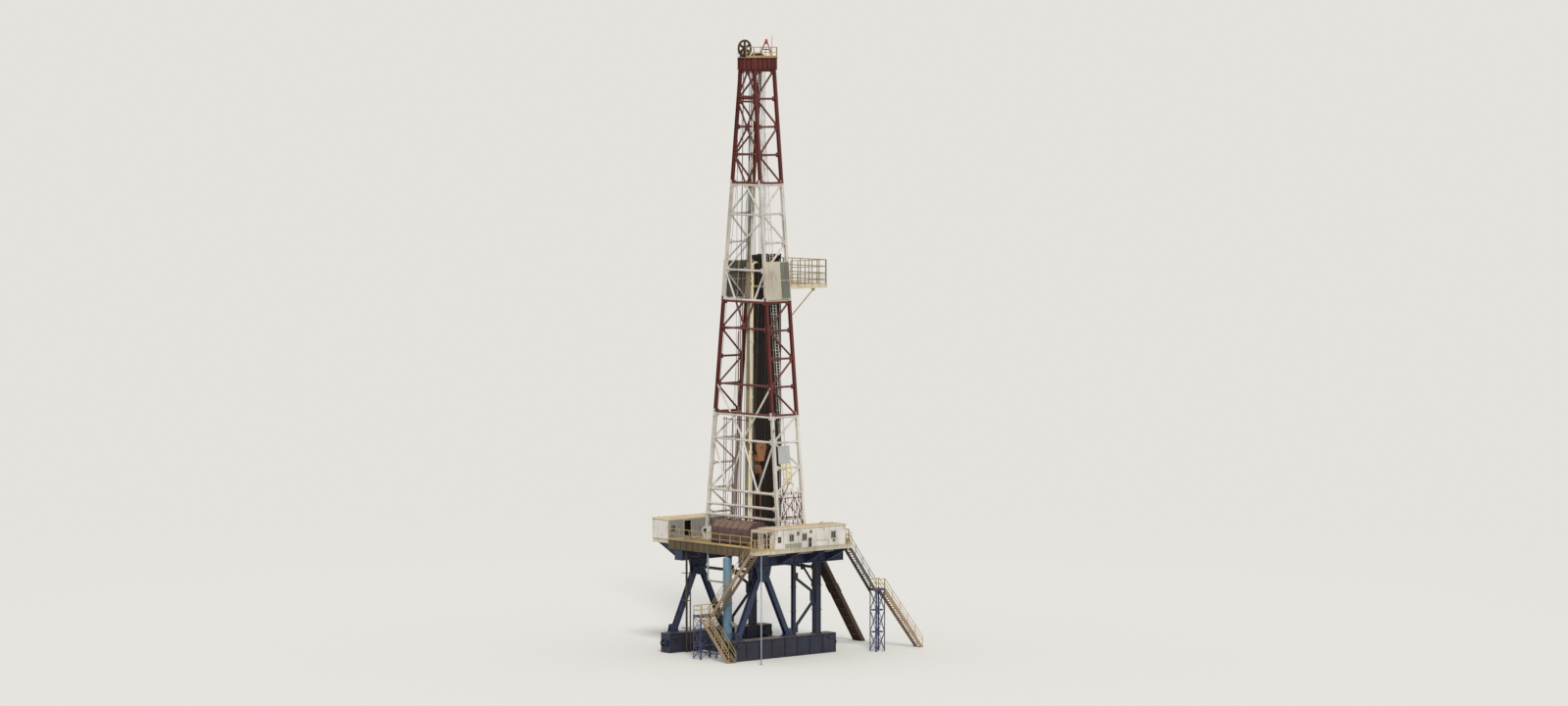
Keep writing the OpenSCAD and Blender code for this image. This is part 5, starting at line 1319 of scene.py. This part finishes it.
for z in spaced(6.1, 11.42, 20):
    hoses.tube(by_back(1.45, z, 0.095), by_back(1.62, z, 0.095), 0.009, 6)
route = [neck[-1] - ahead * 0.05] + [neck[-1] + Vector((z, 0, x - 0.16)) for x, z in arc(0, 90, 7, 0.16)]
line_head, line_foot = route[-1], by_back(riser_y, floor_z, 0.27) + upward * 0.02
lines.bend(route + [line_foot], 0.03, 12)
line_union = [(0.03, -0.05), (0.058, -0.05), (0.066, -0.02), (0.066, 0.02), (0.058, 0.05), (0.03, 0.05)]
tray.ring(neck[-1], ahead, line_union, 14)
tray.ring(line_foot, upward, [(0.02, -0.02), (0.07, -0.02), (0.07, 0), (0.05, 0.03), (0.02, 0.03)], 14)
for z in [girt for girt in back_girts if girt < 19.0]:
    clamp_x = line_foot.lerp(line_head, (z - line_foot.z) / (line_head.z - line_foot.z)).x
    tray.box((rear_x(z) + 0.15, riser_y - 0.02, z - 0.02), (clamp_x + 0.045, riser_y + 0.02, z + 0.02))
pale_foot = tray_head - 0.5
pale_line.tube(by_back(-0.33, pale_foot, 0.105), by_back(-0.33, 27.95, 0.105), 0.03, 10)
for z in [girt for girt in back_girts if girt > pale_foot]:
    pale_line.box(by_back(-0.39, z, 0.04) - upward * 0.03, by_back(-0.27, z, 0.12) + upward * 0.03)
tray.done("cable_tray", tray_brown)
lines.done("mast_dark_lines", rubber)
hoses.done("mast_brown_lines", hose_brown)
pale_line.done("mast_pale_line", riser_cream)

# Right side fittings: a pale panel and a small yellow frame in the mast's right side, and below them
# upright striped pipes on two racks, stored behind the doghouse.
panel_grey = paint("panel_paint", (176, 180, 178), "grey_house", rust=0.36, dust=0.25)
frame_yellow = paint("small_frame_paint", (204, 184, 66), "rail_paint", rust=0.32, dust=0.25)
panel, frame_bars, white_parts, red_parts = Steel(), Steel(), Steel(), Steel()
panel_x0, panel_x1, panel_z0, panel_z1 = -0.73, 0.04, 9.75, 10.6
frame_x0, frame_x1, frame_z0, fitting_out, stripe, stored_r = -0.48, 0.04, 8.65, -0.018, 0.42, 0.028


def run_on_side(x0, z0, x1, z1, out=fitting_out, side=-1):
    return on_side(x0, z0, out, side), on_side(x1, z1, out, side)


middle = (panel_x0 + panel_x1) / 2
panel.bar(*run_on_side(middle, panel_z0, middle, panel_z1), panel_x1 - panel_x0, 0.012, aside)
for x in spaced(panel_x0 + 0.04, panel_x1 - 0.04, 9):
    panel.bar(*run_on_side(x, panel_z0 + 0.03, x, panel_z1 - 0.03, -0.008), 0.03, 0.014, aside)
for z in (panel_z0, panel_z1):
    panel.bar(*run_on_side(panel_x0, z, panel_x1, z), 0.03, 0.04)
for x in (frame_x0, frame_x1):
    frame_bars.tube(*run_on_side(x, frame_z0, x, panel_z0), 0.022, 8)
for i, z in enumerate(spaced(frame_z0 + 0.05, panel_z0 - 0.27, 4)):
    start, end = (frame_x0, frame_x1) if i % 2 else (frame_x1, frame_x0)
    frame_bars.tube(*run_on_side(start, z, end, z), 0.016, 8)
    frame_bars.tube(*run_on_side(start, z, end, z + 0.26), 0.018, 8)
stored = ((-0.72, 8.3), (-0.58, 8.6), (-0.46, 8.15), (-0.04, 8.45), (0.1, 8.7), (0.26, 8.25), (0.42, 8.5),
          (0.54, 7.9))
for i, (x, head_z) in enumerate(stored):
    for k in range(math.ceil((head_z - mast_foot) / stripe)):
        z = mast_foot + k * stripe
        part = (white_parts, red_parts)[(i + k) % 2]
        part.tube(*run_on_side(x, z, x, min(z + stripe, head_z), 0), stored_r, 8)
    white_parts.ring(on_side(x, head_z - 0.08, 0), upward, band(0.02, 0.038, -0.05, 0.05), 10)
for z in (7.05, 8.0):
    red_parts.bar(*run_on_side(-0.8, z, 0.62, z, -0.012), 0.03, 0.05)
for x0, x1, z in ((-0.7, 0.02, 7.1), (0.5, 0.14, 7.2), (-0.66, -0.1, 8.05)):
    red_parts.tube(*run_on_side(x0, z, x1, z + 0.8, 0.03), 0.02, 8)
panel.done("mast_side_panel", panel_grey, 0.001)
frame_bars.done("small_yellow_frame", frame_yellow)
white_parts.done("stored_pipe_white", mast_white)
red_parts.done("stored_pipe_red", mast_red)

# Air winch: a small rope drum between two plates on a pedestal, beside the left rear foot of the mast.
# Its line goes up inside the mast to a roller under the crown.
greased_rope = paint("wire_rope", (34, 31, 30), dust=0.1, fade=0.3, gloss=0.55, metal=0.1)
winch = Vector((-1.42, 2.3, floor_z))
drum = winch + upward * 0.43
steel, rope = Steel(), Steel()
steel.block(winch.x, winch.y, 0.20, 0.26, winch.z, winch.z + 0.03)
steel.block(winch.x, winch.y, 0.13, 0.20, winch.z + 0.03, winch.z + 0.26)
cheek = mirrored(winch.x, [(0.19, winch.z + 0.24), (0.19, winch.z + 0.44), (0.11, winch.z + 0.62)])
drum_cover = [(0.001, 0), (0.13, 0.012), (0.13, 0.03), (0.06, 0.05), (0.001, 0.05)]
for way in (-1, 1):
    steel.cheek(cheek, winch.y + way * 0.17, 0.024)
    steel.ring(drum + aside * way * 0.17, aside * way, drum_cover, 24)
    bar = drum + Vector((way * 0.15, 0, 0.13))
    steel.pin(bar, 0.18, 0.012, 8)
steel.tube(drum + aside * 0.2, drum + aside * 0.34, 0.085, 16)
coil = [(0.05, -0.010), (0.093, -0.010), (0.101, 0), (0.093, 0.010), (0.05, 0.010)]
for k in range(14):
    rope.ring(drum + aside * (0.0222 * k - 0.145), aside, coil, 20)
rope_head = Vector((-0.45, 0.36, 29.42))
rope.tube(drum + Vector((0.097, 0.05, 0)), rope_head, 0.008, 6)
steel.ring(rope_head, aside, [(0.012, -0.02), (0.06, -0.02), (0.045, 0), (0.06, 0.02), (0.012, 0.02)], 16)
steel.bar(rope_head + upward * 0.02, rope_head + upward * 0.10, 0.02, 0.05, aside)
steel.done("air_winch", house_white, 0.003)
rope.done("air_winch_rope", greased_rope)

# Crown frame: deep H beams round the mast's top and two bearing beams inside, bolted to the legs and
# painted the same red, with grating to walk on between the beams.
steel, low, high = begin("crown_frame")
beam_half, bearing_y, bearing_top, plate_t = 0.075, 0.31, 29.88, 0.022
grating = Steel()
deep, z, bearing_z = high.z - low.z, (low.z + high.z) / 2, (low.z + bearing_top) / 2
for side in (-1, 1):
    x, y, near = side * (high.x - beam_half), side * (high.y - beam_half), side * bearing_y
    steel.beam((low.x, y, z), (high.x, y, z), 2 * beam_half, deep, plate_t)
    end, y0, y1, x0, x1 = x - side * 0.003, low.y + beam_half, high.y - beam_half, low.x + 0.1, high.x - 0.1
    steel.beam((end, y0, z), (end, y1, z), 2 * beam_half, deep - 0.004, plate_t)
    steel.beam((x0, near, bearing_z), (x1, near, bearing_z), 0.075, bearing_top - low.z, 0.018)
    for rib in spaced(low.x + 0.03, high.x - 0.03, 6):
        steel.block(rib, y, 0.008, 0.07, low.z + plate_t, high.z - plate_t)
    for rib in spaced(low.y + 0.03, high.y - 0.03, 5):
        steel.block(x, rib, 0.07, 0.008, low.z + plate_t, high.z - plate_t)
    y0, y1 = side * 0.36, side * (high.y - 0.13)
    for x in spaced(low.x + 0.16, high.x - 0.16, 31):
        grating.box((x - 0.003, y0, high.z - 0.03), (x + 0.003, y1, high.z - 0.004))
    for y in (side * 0.37, side * 0.44, side * 0.50):
        grating.box((low.x + 0.15, y - 0.003, high.z - 0.032), (high.x - 0.15, y + 0.003, high.z - 0.01))
steel.done("crown_beams", mast_red, 0.003)
grating.done("crown_grating", bare_iron)

# Crown sheaves: a row of five grooved and spoked sheaves on one axle, and the large fast line sheave
# in a stand over the left beam. Cast steel, dark brown with old grease.
sheave_brown = paint("sheave_iron", (70, 50, 38), "dark_steel", rust=0.5, dust=0.25, fade=0.3, gloss=0.5,
                     metal=0.2)
line_x, line_r, groove_r, axle_z = 0.32, 0.009, 0.311, 30.0
lines_y = [(i - 2) * 0.11 for i in range(5)]


def sheave(steel, centre, r, rim_deep=0.035, spoke_wide=0.075):
    """A sheave on an axle along Y, with a rope groove in its rim and six spokes."""
    centre, half, hub, rim, inner = Vector(centre), 0.0275, 0.10, r + 0.026, r - rim_deep
    groove = [(inner, half * 0.8), (rim, half), (rim, half * 0.7), (r, 0.008)]
    steel.ring(centre, aside, [(p, -t) for p, t in groove] + groove[::-1], 48)
    steel.ring(centre, aside, band(hub * 0.55, hub, -half, half), 24)
    for x, z in circle(6, 1, 0.5):
        way = Vector((x, 0, z))
        steel.bar(centre + way * (hub - 0.01), centre + way * (inner + 0.005), spoke_wide, half, aside)


steel = Steel("crown_sheaves")
for y in lines_y:
    sheave(steel, (0, y, axle_z), groove_r)
steel.pin((0, 0, axle_z), 0.36, 0.058, 20)
bearing = mirrored(0, [(0.16, bearing_top), (0.10, 29.98), (0.085, 30.05), (0.04, 30.09)])
fast, fast_r, stand_foot, stand_tie = Vector((-0.35, 0.5725, 30.57)), 0.424, 30.1, 30.24
sheave(steel, fast, fast_r, 0.08, 0.13)
steel.pin(fast, 0.10, 0.042)
for side in (-1, 1):
    y = side * bearing_y
    steel.cheek(bearing, y, 0.075)
    steel.tube((0, y + side * 0.03, axle_z), (0, y + side * 0.055, axle_z), 0.075, 6)
    y = fast.y + side * 0.075
    for foot_x in (-0.26, 0.26):
        steel.bar((fast.x + foot_x, y, stand_foot), (fast.x + foot_x * 0.12, y, fast.z), 0.03, 0.07, ahead)
    steel.bar((fast.x - 0.19, y, stand_tie), (fast.x + 0.19, y, stand_tie), 0.02, 0.05)
    steel.ring((fast.x, y, fast.z), aside, band(0.04, 0.085, -0.02, 0.02), 20)
    steel.block(fast.x, y, 0.32, 0.03, stand_foot - 0.002, stand_foot + 0.015)
steel.done("crown_sheave_set", sheave_brown, 0.002)

# Rope round the crown sheaves: the wire rope lies over each sheave in its groove. The fast line goes
# over its own sheave and down behind the mast to the drawworks, and the dead line to its anchor.
wraps = Steel()
for y in lines_y:
    wraps.bend([(x, y, axle_z + z) for x, z in arc(0, 180, 17, line_x)], line_r, 6)
over = fast_r + line_r
route = [(-2.25, -0.9, 6.98), (fast.x - over, fast.y, fast.z - 0.02)]
route += [fast + Vector((-x, 0, z)) for x, z in arc(18, 144, 8, over)]
route += [(fast.x + over * 0.98, fast.y - 0.02, fast.z - 0.2), (line_x, lines_y[4] + 0.02, axle_z + 0.02)]
wraps.bend(route, line_r, 6)
anchor = Vector((-0.30, 1.95, mast_foot))
wraps.bend([(-line_x - 0.012, lines_y[0] - 0.03, axle_z), anchor + Vector((-0.17, 0, 0.42))], line_r, 6)
wraps.done("fast_and_dead_lines", greased_rope)
steel = Steel()
steel.block(anchor.x, anchor.y, 0.22, 0.16, mast_foot, mast_foot + 0.03)
cheek = mirrored(anchor.x, [(0.14, mast_foot + 0.03), (0.05, mast_foot + 0.50)])
for y in (anchor.y - 0.10, anchor.y + 0.10):
    steel.cheek(cheek, y, 0.024)
wheel = [(0.03, 0.08), (0.19, 0.08), (0.19, 0.06), (0.16, 0.05)]
steel.ring(anchor + upward * 0.42, aside, [(r, -t) for r, t in wheel] + wheel[::-1], 28)
steel.done("dead_line_anchor", bare_iron, 0.003)

# Crown rails and the slim post: tube guard rails with toe boards on three sides of the crown, and an
# aerial post clamped to the right one. They have the ochre coat of the floor's rails.
rails, low, high = begin("crown_rails")
x0, x1, y0, y1, post_x = low.x + 0.02, high.x - 0.02, low.y + 0.02, high.y - 0.02, 0.415
runs = ((x0, y0, x1, y0, 0.52), (x1, y0 + 0.04, x1, y1, 0.45), (x0, y0 + 0.04, x0, -0.02, 0.6))
for ax, ay, bx, by, pitch in runs:
    guard_rail(rails, (ax, ay, low.z), (bx, by, low.z), 0.55, True, pitch)
for z0, z1, r, sides in ((low.z, high.z - 0.12, 0.014, 8), (high.z - 0.12, high.z, 0.006, 6),
                         (high.z - 0.16, high.z - 0.11, 0.022, 10)):
    rails.tube((post_x, low.y + 0.015, z0), (post_x, low.y + 0.015, z1), r, sides)
rails.done("crown_rail_tubes", rail_yellow)

# Lifting frame: a welded A-frame of tube over the crown's front beam, with a small sheave for
# changing the crown sheaves. Its paint is a bright orange red.
orange_red = paint("lifting_frame_paint", (168, 50, 30), "orange_paint", rust=0.32, dust=0.2)
steel, low, high = begin("gin_frame")
x, top_z = (low.x + high.x) / 2, high.z - 0.035
peak, feet = Vector((x, -0.1, top_z)), [Vector((x, y, low.z)) for y in (0.52, -0.585)]
for foot in feet:
    steel.tube(foot, peak, 0.032, 12)
    steel.block(x, foot.y, 0.07, 0.06, low.z, low.z + 0.02)
steel.tube(feet[0].lerp(peak, 0.46), feet[1].lerp(peak, 0.46), 0.028, 12)
steel.plate(mirrored(peak.y, [(0.09, top_z - 0.13), (0.04, top_z + 0.03)]), "x", x - 0.03, x + 0.03)
pulley = [(0.015, -0.012), (0.055, -0.018), (0.055, -0.010), (0.045, 0), (0.055, 0.010), (0.055, 0.018),
          (0.015, 0.012)]
steel.ring(peak - upward * 0.17, ahead, pulley, 18)
steel.tube((x - 0.035, peak.y, top_z - 0.17), (x + 0.035, peak.y, top_z - 0.17), 0.012, 8)
steel.done("lifting_frame", orange_red)

# Racking board: the high platform in front of the mast where the tops of the pipe stands are held.
# A channel frame, rounded fingers with folding tips on both sides, and a grating walkway.
olive = paint("board_paint", (150, 132, 76), "rail_paint", rust=0.4, fade=0.6)
steel, low, high = begin("racking_board")
walk_half, row_pitch, frame_half, z = 0.25, 0.17, 0.05, (low.z + high.z) / 2
first_latch, latch_pitch = 0.455, 0.11
frame_steel = Steel()
for y, way in ((low.y, 1), (high.y, -1)):
    edge = y + way * frame_half
    frame_steel.beam((low.x, edge, z), (high.x - 0.012, edge, z), 0.1, 0.1, 0.014)
    frame_steel.box((low.x + 0.003, edge, low.z + 0.004), (high.x - 0.015, y + way * 0.004, high.z - 0.004))
x0, x1 = high.x - 0.012, high.x - 0.002
frame_steel.box((x0, low.y + 0.002, low.z + 0.003), (x1, high.y - 0.002, high.z - 0.003))
for x in (low.x + frame_half, high.x - frame_half):
    frame_steel.beam((x, low.y + frame_half, z), (x, high.y - frame_half, z), 0.1, 0.098, 0.014)
for y in (-walk_half, walk_half):
    frame_steel.beam((low.x + frame_half, y, z), (high.x - frame_half, y, z), 0.06, 0.098, 0.012)
for x in [low.x + 0.2 + (i - 0.5) * row_pitch for i in range(8)]:
    for side in (-1, 1):
        tip = side * (walk_half + 0.03)
        steel.bar((x, tip, z), (x, side * (high.y - 0.08), z), 0.05, 0.07)
        steel.tube((x, tip - side * 0.02, low.z + 0.012), (x, tip - side * 0.02, high.z - 0.004), 0.03, 12)
        for y in [first_latch + latch_pitch * k for k in range(10)]:
            steel.block(x, side * y, 0.034, 0.008, high.z - 0.02, high.z - 0.002)
for x in spaced(low.x + 0.1, high.x - 0.1, 60):
    steel.block(x, 0, 0.003, walk_half, high.z - 0.035, high.z - 0.008)
for y in (-0.17, -0.06, 0.06, 0.17):
    steel.box((low.x + 0.1, y - 0.004, high.z - 0.04), (high.x - 0.1, y + 0.004, high.z - 0.014))
steel.done("racking_fingers", olive)
frame_steel.done("racking_board_frame", roof_cream, slot="rail_paint")

# Guard frames of the board: tall tube frames round three sides, with mesh bars in the lower half and
# a pale kick plate along the foot.
steel, low, high = begin("board_guard")
x0, x1, y0, y1 = low.x + 0.03, high.x - 0.03, low.y + 0.03, high.y - 0.03
tall, columns, rows = high.z - low.z, 5, 4
kick = Steel()
for ax, ay, bx, by in ((x0, y0, x1, y0), (x0, y1, x1, y1), (x1, y0 + 0.04, x1, y1 - 0.04)):
    a, b = Vector((ax, ay, low.z)), Vector((bx, by, low.z))
    for share in spaced(0, 1, columns + 1):
        steel.tube(a.lerp(b, share), a.lerp(b, share) + upward * (tall - 0.02), 0.024, 8)
    for k in range(1, rows + 1):
        lift = upward * (tall * k / rows - 0.024)
        steel.tube(a + lift, b + lift, 0.02, 8)
    for i in range(columns * 4):
        foot = a.lerp(b, (i + 0.5) / (columns * 4))
        steel.tube(foot + upward * 0.05, foot + upward * (tall / 2 - 0.02), 0.006, 5)
    kick.bar(a + upward * 0.06, b + upward * 0.06, 0.012, 0.12)
steel.done("board_guard_tubes", olive)
kick.done("board_kick_plates", roof_cream, slot="rail_paint")

# Wind walls: ribbed sheet on both outer faces of the mast beside the racking board. The right one is
# pale with a grey-green strip at the front; the left one is painted dark as painted shade on its inner face.
sheet_pale = paint("wind_sheet_pale", (190, 181, 164), "wind_sheet", rust=0.34, dust=0.25, fade=0.4)
sheet_green = paint("wind_sheet_green", (108, 114, 104), "wind_sheet", rust=0.4, dust=0.25)
# Painted shade: the left wall's sheet colour is darkened to stand for the shade on its inner face, seen from
# inside the mast.
sheet_painted_shade = paint("wind_sheet_painted_shade", (86, 88, 76), "wind_sheet", rust=0.45, dust=0.25)
low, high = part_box("wind_walls")
strip_x, sheet_t, wind_pitch, frame_in, frame_out = 0.107, 0.03, 0.12, 0.018, 0.016
trim = Steel()
for name, material, side, x0, x1, node in (("pale", sheet_pale, -1, low.x, strip_x, "wind_walls"),
                                           ("green", sheet_green, -1, strip_x, high.x, None),
                                           ("dark", sheet_painted_shade, 1, low.x, high.x, None)):
    outline = [(x, sheet_t * (0.45 + 0.55 * rise)) for x, rise in sheet_steps(x0, x1, wind_pitch)]
    outline += [(x1, 0.004), (x0, 0.004)]
    sheets = Steel(node)
    sheets.skin([on_side(x, z, out, side) for z in (low.z, high.z) for x, out in outline], len(outline))
    sheets.done("wind_sheets_" + name, material)
for side in (-1, 1):
    for x in (low.x + frame_in, strip_x, high.x - frame_in):
        trim.bar(*run_on_side(x, low.z, x, high.z, frame_out, side), 0.04, 0.028, aside)
    for z in (low.z + frame_in, (low.z + high.z) / 2, high.z - frame_in):
        trim.bar(*run_on_side(low.x + 0.002, z, high.x - 0.002, z, frame_out, side), 0.025, 0.04)
trim.done("wind_wall_frames", roof_cream, 0.002, slot="wind_sheet")

# Board struts: sloping tubes from the front legs out to the racking board, which they hold up. They
# are pinned to plates at both ends and painted like the board.
steel, low, high = begin("board_braces")
for y in (-1.66, 1.66):
    b = Vector((2.33, y, high.z))
    steel.tube((front_x(17.05) + 0.09, y, 17.05), b - upward * 0.03, 0.032, 12)
    steel.box((front_x(17.0) + 0.0752, y - 0.035, 16.93), (front_x(17.0) + 0.10, y + 0.035, 17.2))
    steel.cheek(mirrored(b.x - 0.03, [(0.13, b.z), (0.07, b.z - 0.14)]), y, 0.02)
    steel.pin((b.x - 0.02, y, b.z - 0.06), 0.045, 0.02, 10)
steel.done("board_strut_tubes", olive)

# Racked pipe: stands of three lengths screwed together, with thicker tool joints, stood on a timber
# mat. The steel is dark brown from handling.
pipe_brown = paint("pipe_steel", (42, 38, 36), "dark_steel", rust=0.42, dust=0.2, fade=0.4, gloss=0.5,
                   metal=0.2)
mat_brown = paint("mat_timber", (104, 80, 58), "dark_steel", dust=0.5, gloss=0.7)
steel, low, high = begin("pipe_stands")
pipe_r, joint_r, mat_top, place_pitch, pipe_sides = 0.032, 0.042, low.z + 0.05, 0.11, 8
mat = Steel()
boards_y = spaced(low.y, high.y, 9)
for y0, y1 in zip(boards_y, boards_y[1:]):
    mat.box((low.x, y0 + 0.004, low.z), (high.x, y1 - 0.004, mat_top))
for row in range(7):
    for place in range(10):
        x, y = low.x + 0.08 + row * row_pitch, low.y + 0.08 + place * place_pitch
        top = high.z - random.random() * 0.10
        length, stations = (top - mat_top) / 3, []
        for z, end in ((mat_top + length * i, mat_top + length * (i + 1)) for i in range(3)):
            stations += [(z, joint_r * 0.85), (z + 0.02, joint_r), (z + 0.16, joint_r), (z + 0.20, pipe_r),
                         (end - 0.20, pipe_r), (end - 0.17, joint_r), (end - 0.01, joint_r)]
        stations.append((top, joint_r * 0.9))
        points = [(x + px, y + py, z) for z, r in stations for px, py in circle(pipe_sides, r)]
        steel.skin(points, pipe_sides)
mat.done("setback_mat", mat_brown, 0.004)
steel.done("racked_pipe", pipe_brown)

# Travelling block: two rounded side plates with five grooved sheaves between them and a heavy yoke
# below, in worn orange paint. It hangs in ten falls of rope and moves up and down the mast.
block_orange = paint("block_paint", (148, 92, 34), "orange_paint", rust=0.42, dust=0.25, fade=0.45)
block_z, plate_in, plate_t, cheek_r = 10.4, 0.2725, 0.035, 0.35
block_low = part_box("travelling_block")[0].z
steel, wheels = Steel("travelling_block"), Steel()
outline = [(x, block_z + z) for x, z in arc(-180 / 7, 180 + 180 / 7, 19, cheek_r)]
outline += [(-0.2, block_low + 0.18), (-0.2, block_low), (0.2, block_low), (0.2, block_low + 0.18)]
for side in (-1, 1):
    face = side * (plate_in + plate_t)
    steel.plate(outline, "y", side * plate_in, face)
    steel.ring((0, face, block_z), aside * side,
               [(0.055, -0.01), (0.13, -0.01), (0.13, 0.012), (0.10, 0.022), (0.055, 0.022)], 28)
    for x, z in circle(6, 0.28):
        bolt = Vector((x, face - side * 0.004, block_z + z))
        steel.tube(bolt, bolt + aside * side * 0.016, 0.018, 6)
yoke = mirrored(0, [(0.2, block_low), (0.2, block_low + 0.10), (0.13, block_z - 0.36)])
steel.plate(yoke, "y", -plate_in, plate_in)
for y in (-0.165, -0.055, 0.055, 0.165):
    steel.block(0, y, 0.17, 0.012, block_low + 0.08, block_z - 0.335)
wheels.pin((0, 0, block_z), plate_in + 0.05, 0.05, 20)
for y in lines_y:
    sheave(wheels, (0, y, block_z), groove_r)
    wheels.bend([(x, y, block_z - z) for x, z in arc(0, 180, 13, line_x)], line_r, 6)
steel.done("block_cheeks", block_orange, 0.006, body="travelling")
wheels.done("block_sheaves", sheave_brown, 0.001, body="travelling")

# Hook, links and elevator: a swivel stem and a cast hook body, two long forged links with an eye at
# each end, and a hinged elevator ring that grips the pipe.
hook_steel = paint("hook_paint", (122, 74, 44), "orange_paint", rust=0.46, dust=0.25, gloss=0.5)
hook_top, pin_z, grip_z = 9.7, 9.2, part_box("hook_and_links")[0].z
link_y, eye_r, grip_middle = 0.23, 0.048, grip_z + 0.07
steel = Steel("hook_and_links")
stem = [(0.001, -0.22), (0.075, -0.22), (0.075, -0.14), (0.11, -0.12), (0.11, -0.05), (0.08, -0.03),
        (0.08, 0), (0.001, 0)]
steel.ring((0, 0, hook_top), upward, stem, 28)
for outline, thick in (([(0.12, -0.15), (0.17, -0.07), (0.17, 0.20), (0.10, 0.30)], 0.24),
                       ([(0.08, -0.12), (0.11, 0), (0.11, 0.16)], 0.27)):
    steel.cheek(mirrored(0, [(out, pin_z + z) for out, z in outline]), 0, thick)
steel.pin((0, 0, pin_z), 0.275, 0.05)
eye = [(eye_r + 0.05 + x, z) for x, z in circle(8, 0.02, r2=0.024)]
for side in (-1, 1):
    y = side * link_y
    steel.tube((0, side * 0.265, pin_z), (0, side * 0.29, pin_z), 0.075, 16)
    for z in (pin_z - 0.052, grip_z + 0.095):
        steel.ring((0, y, z), aside, eye, 24)
    steel.tube((0, y, grip_z + 0.19), (0, y, pin_z - 0.14), 0.027, 12)
    for z, way in ((pin_z - 0.1, -1), (grip_z + 0.17, 1)):
        steel.tube((0, y, z), (0, y, z + way * 0.16), 0.05, 12, 0.027)
    steel.tube((0, side * 0.15, grip_middle), (0, side * 0.262, grip_middle), 0.05, 14)
    steel.box((-0.07, side * 0.12, grip_z + 0.01), (0.07, side * 0.19, grip_z + 0.13))
grip = [(0.075, 0.01), (0.10, 0), (0.165, 0), (0.17, 0.02), (0.17, 0.11), (0.15, 0.145), (0.095, 0.15),
        (0.075, 0.12)]
steel.ring((0, 0, grip_z), upward, grip, 32)
latch = ((0.15, -0.05, 0), (0.24, -0.05, 0.02), (0.24, 0.05, 0.02), (0.15, 0.05, 0))
steel.bend([(x, y, grip_middle + lift) for x, y, lift in latch], 0.012, 8)
steel.done("hook_links_elevator", hook_steel, 0.003, body="travelling")

# Hoist lines: ten taut falls of greased wire rope from the crown sheaves down to the block. They get
# shorter as the block goes up.
steel, low, high = begin("hoist_lines")
for y in lines_y:
    for x in (-line_x, line_x):
        steel.tube((x, y, low.z), (x, y, high.z), line_r, 8)
falls = steel.done("hoist_rope_falls", greased_rope)
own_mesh(falls)
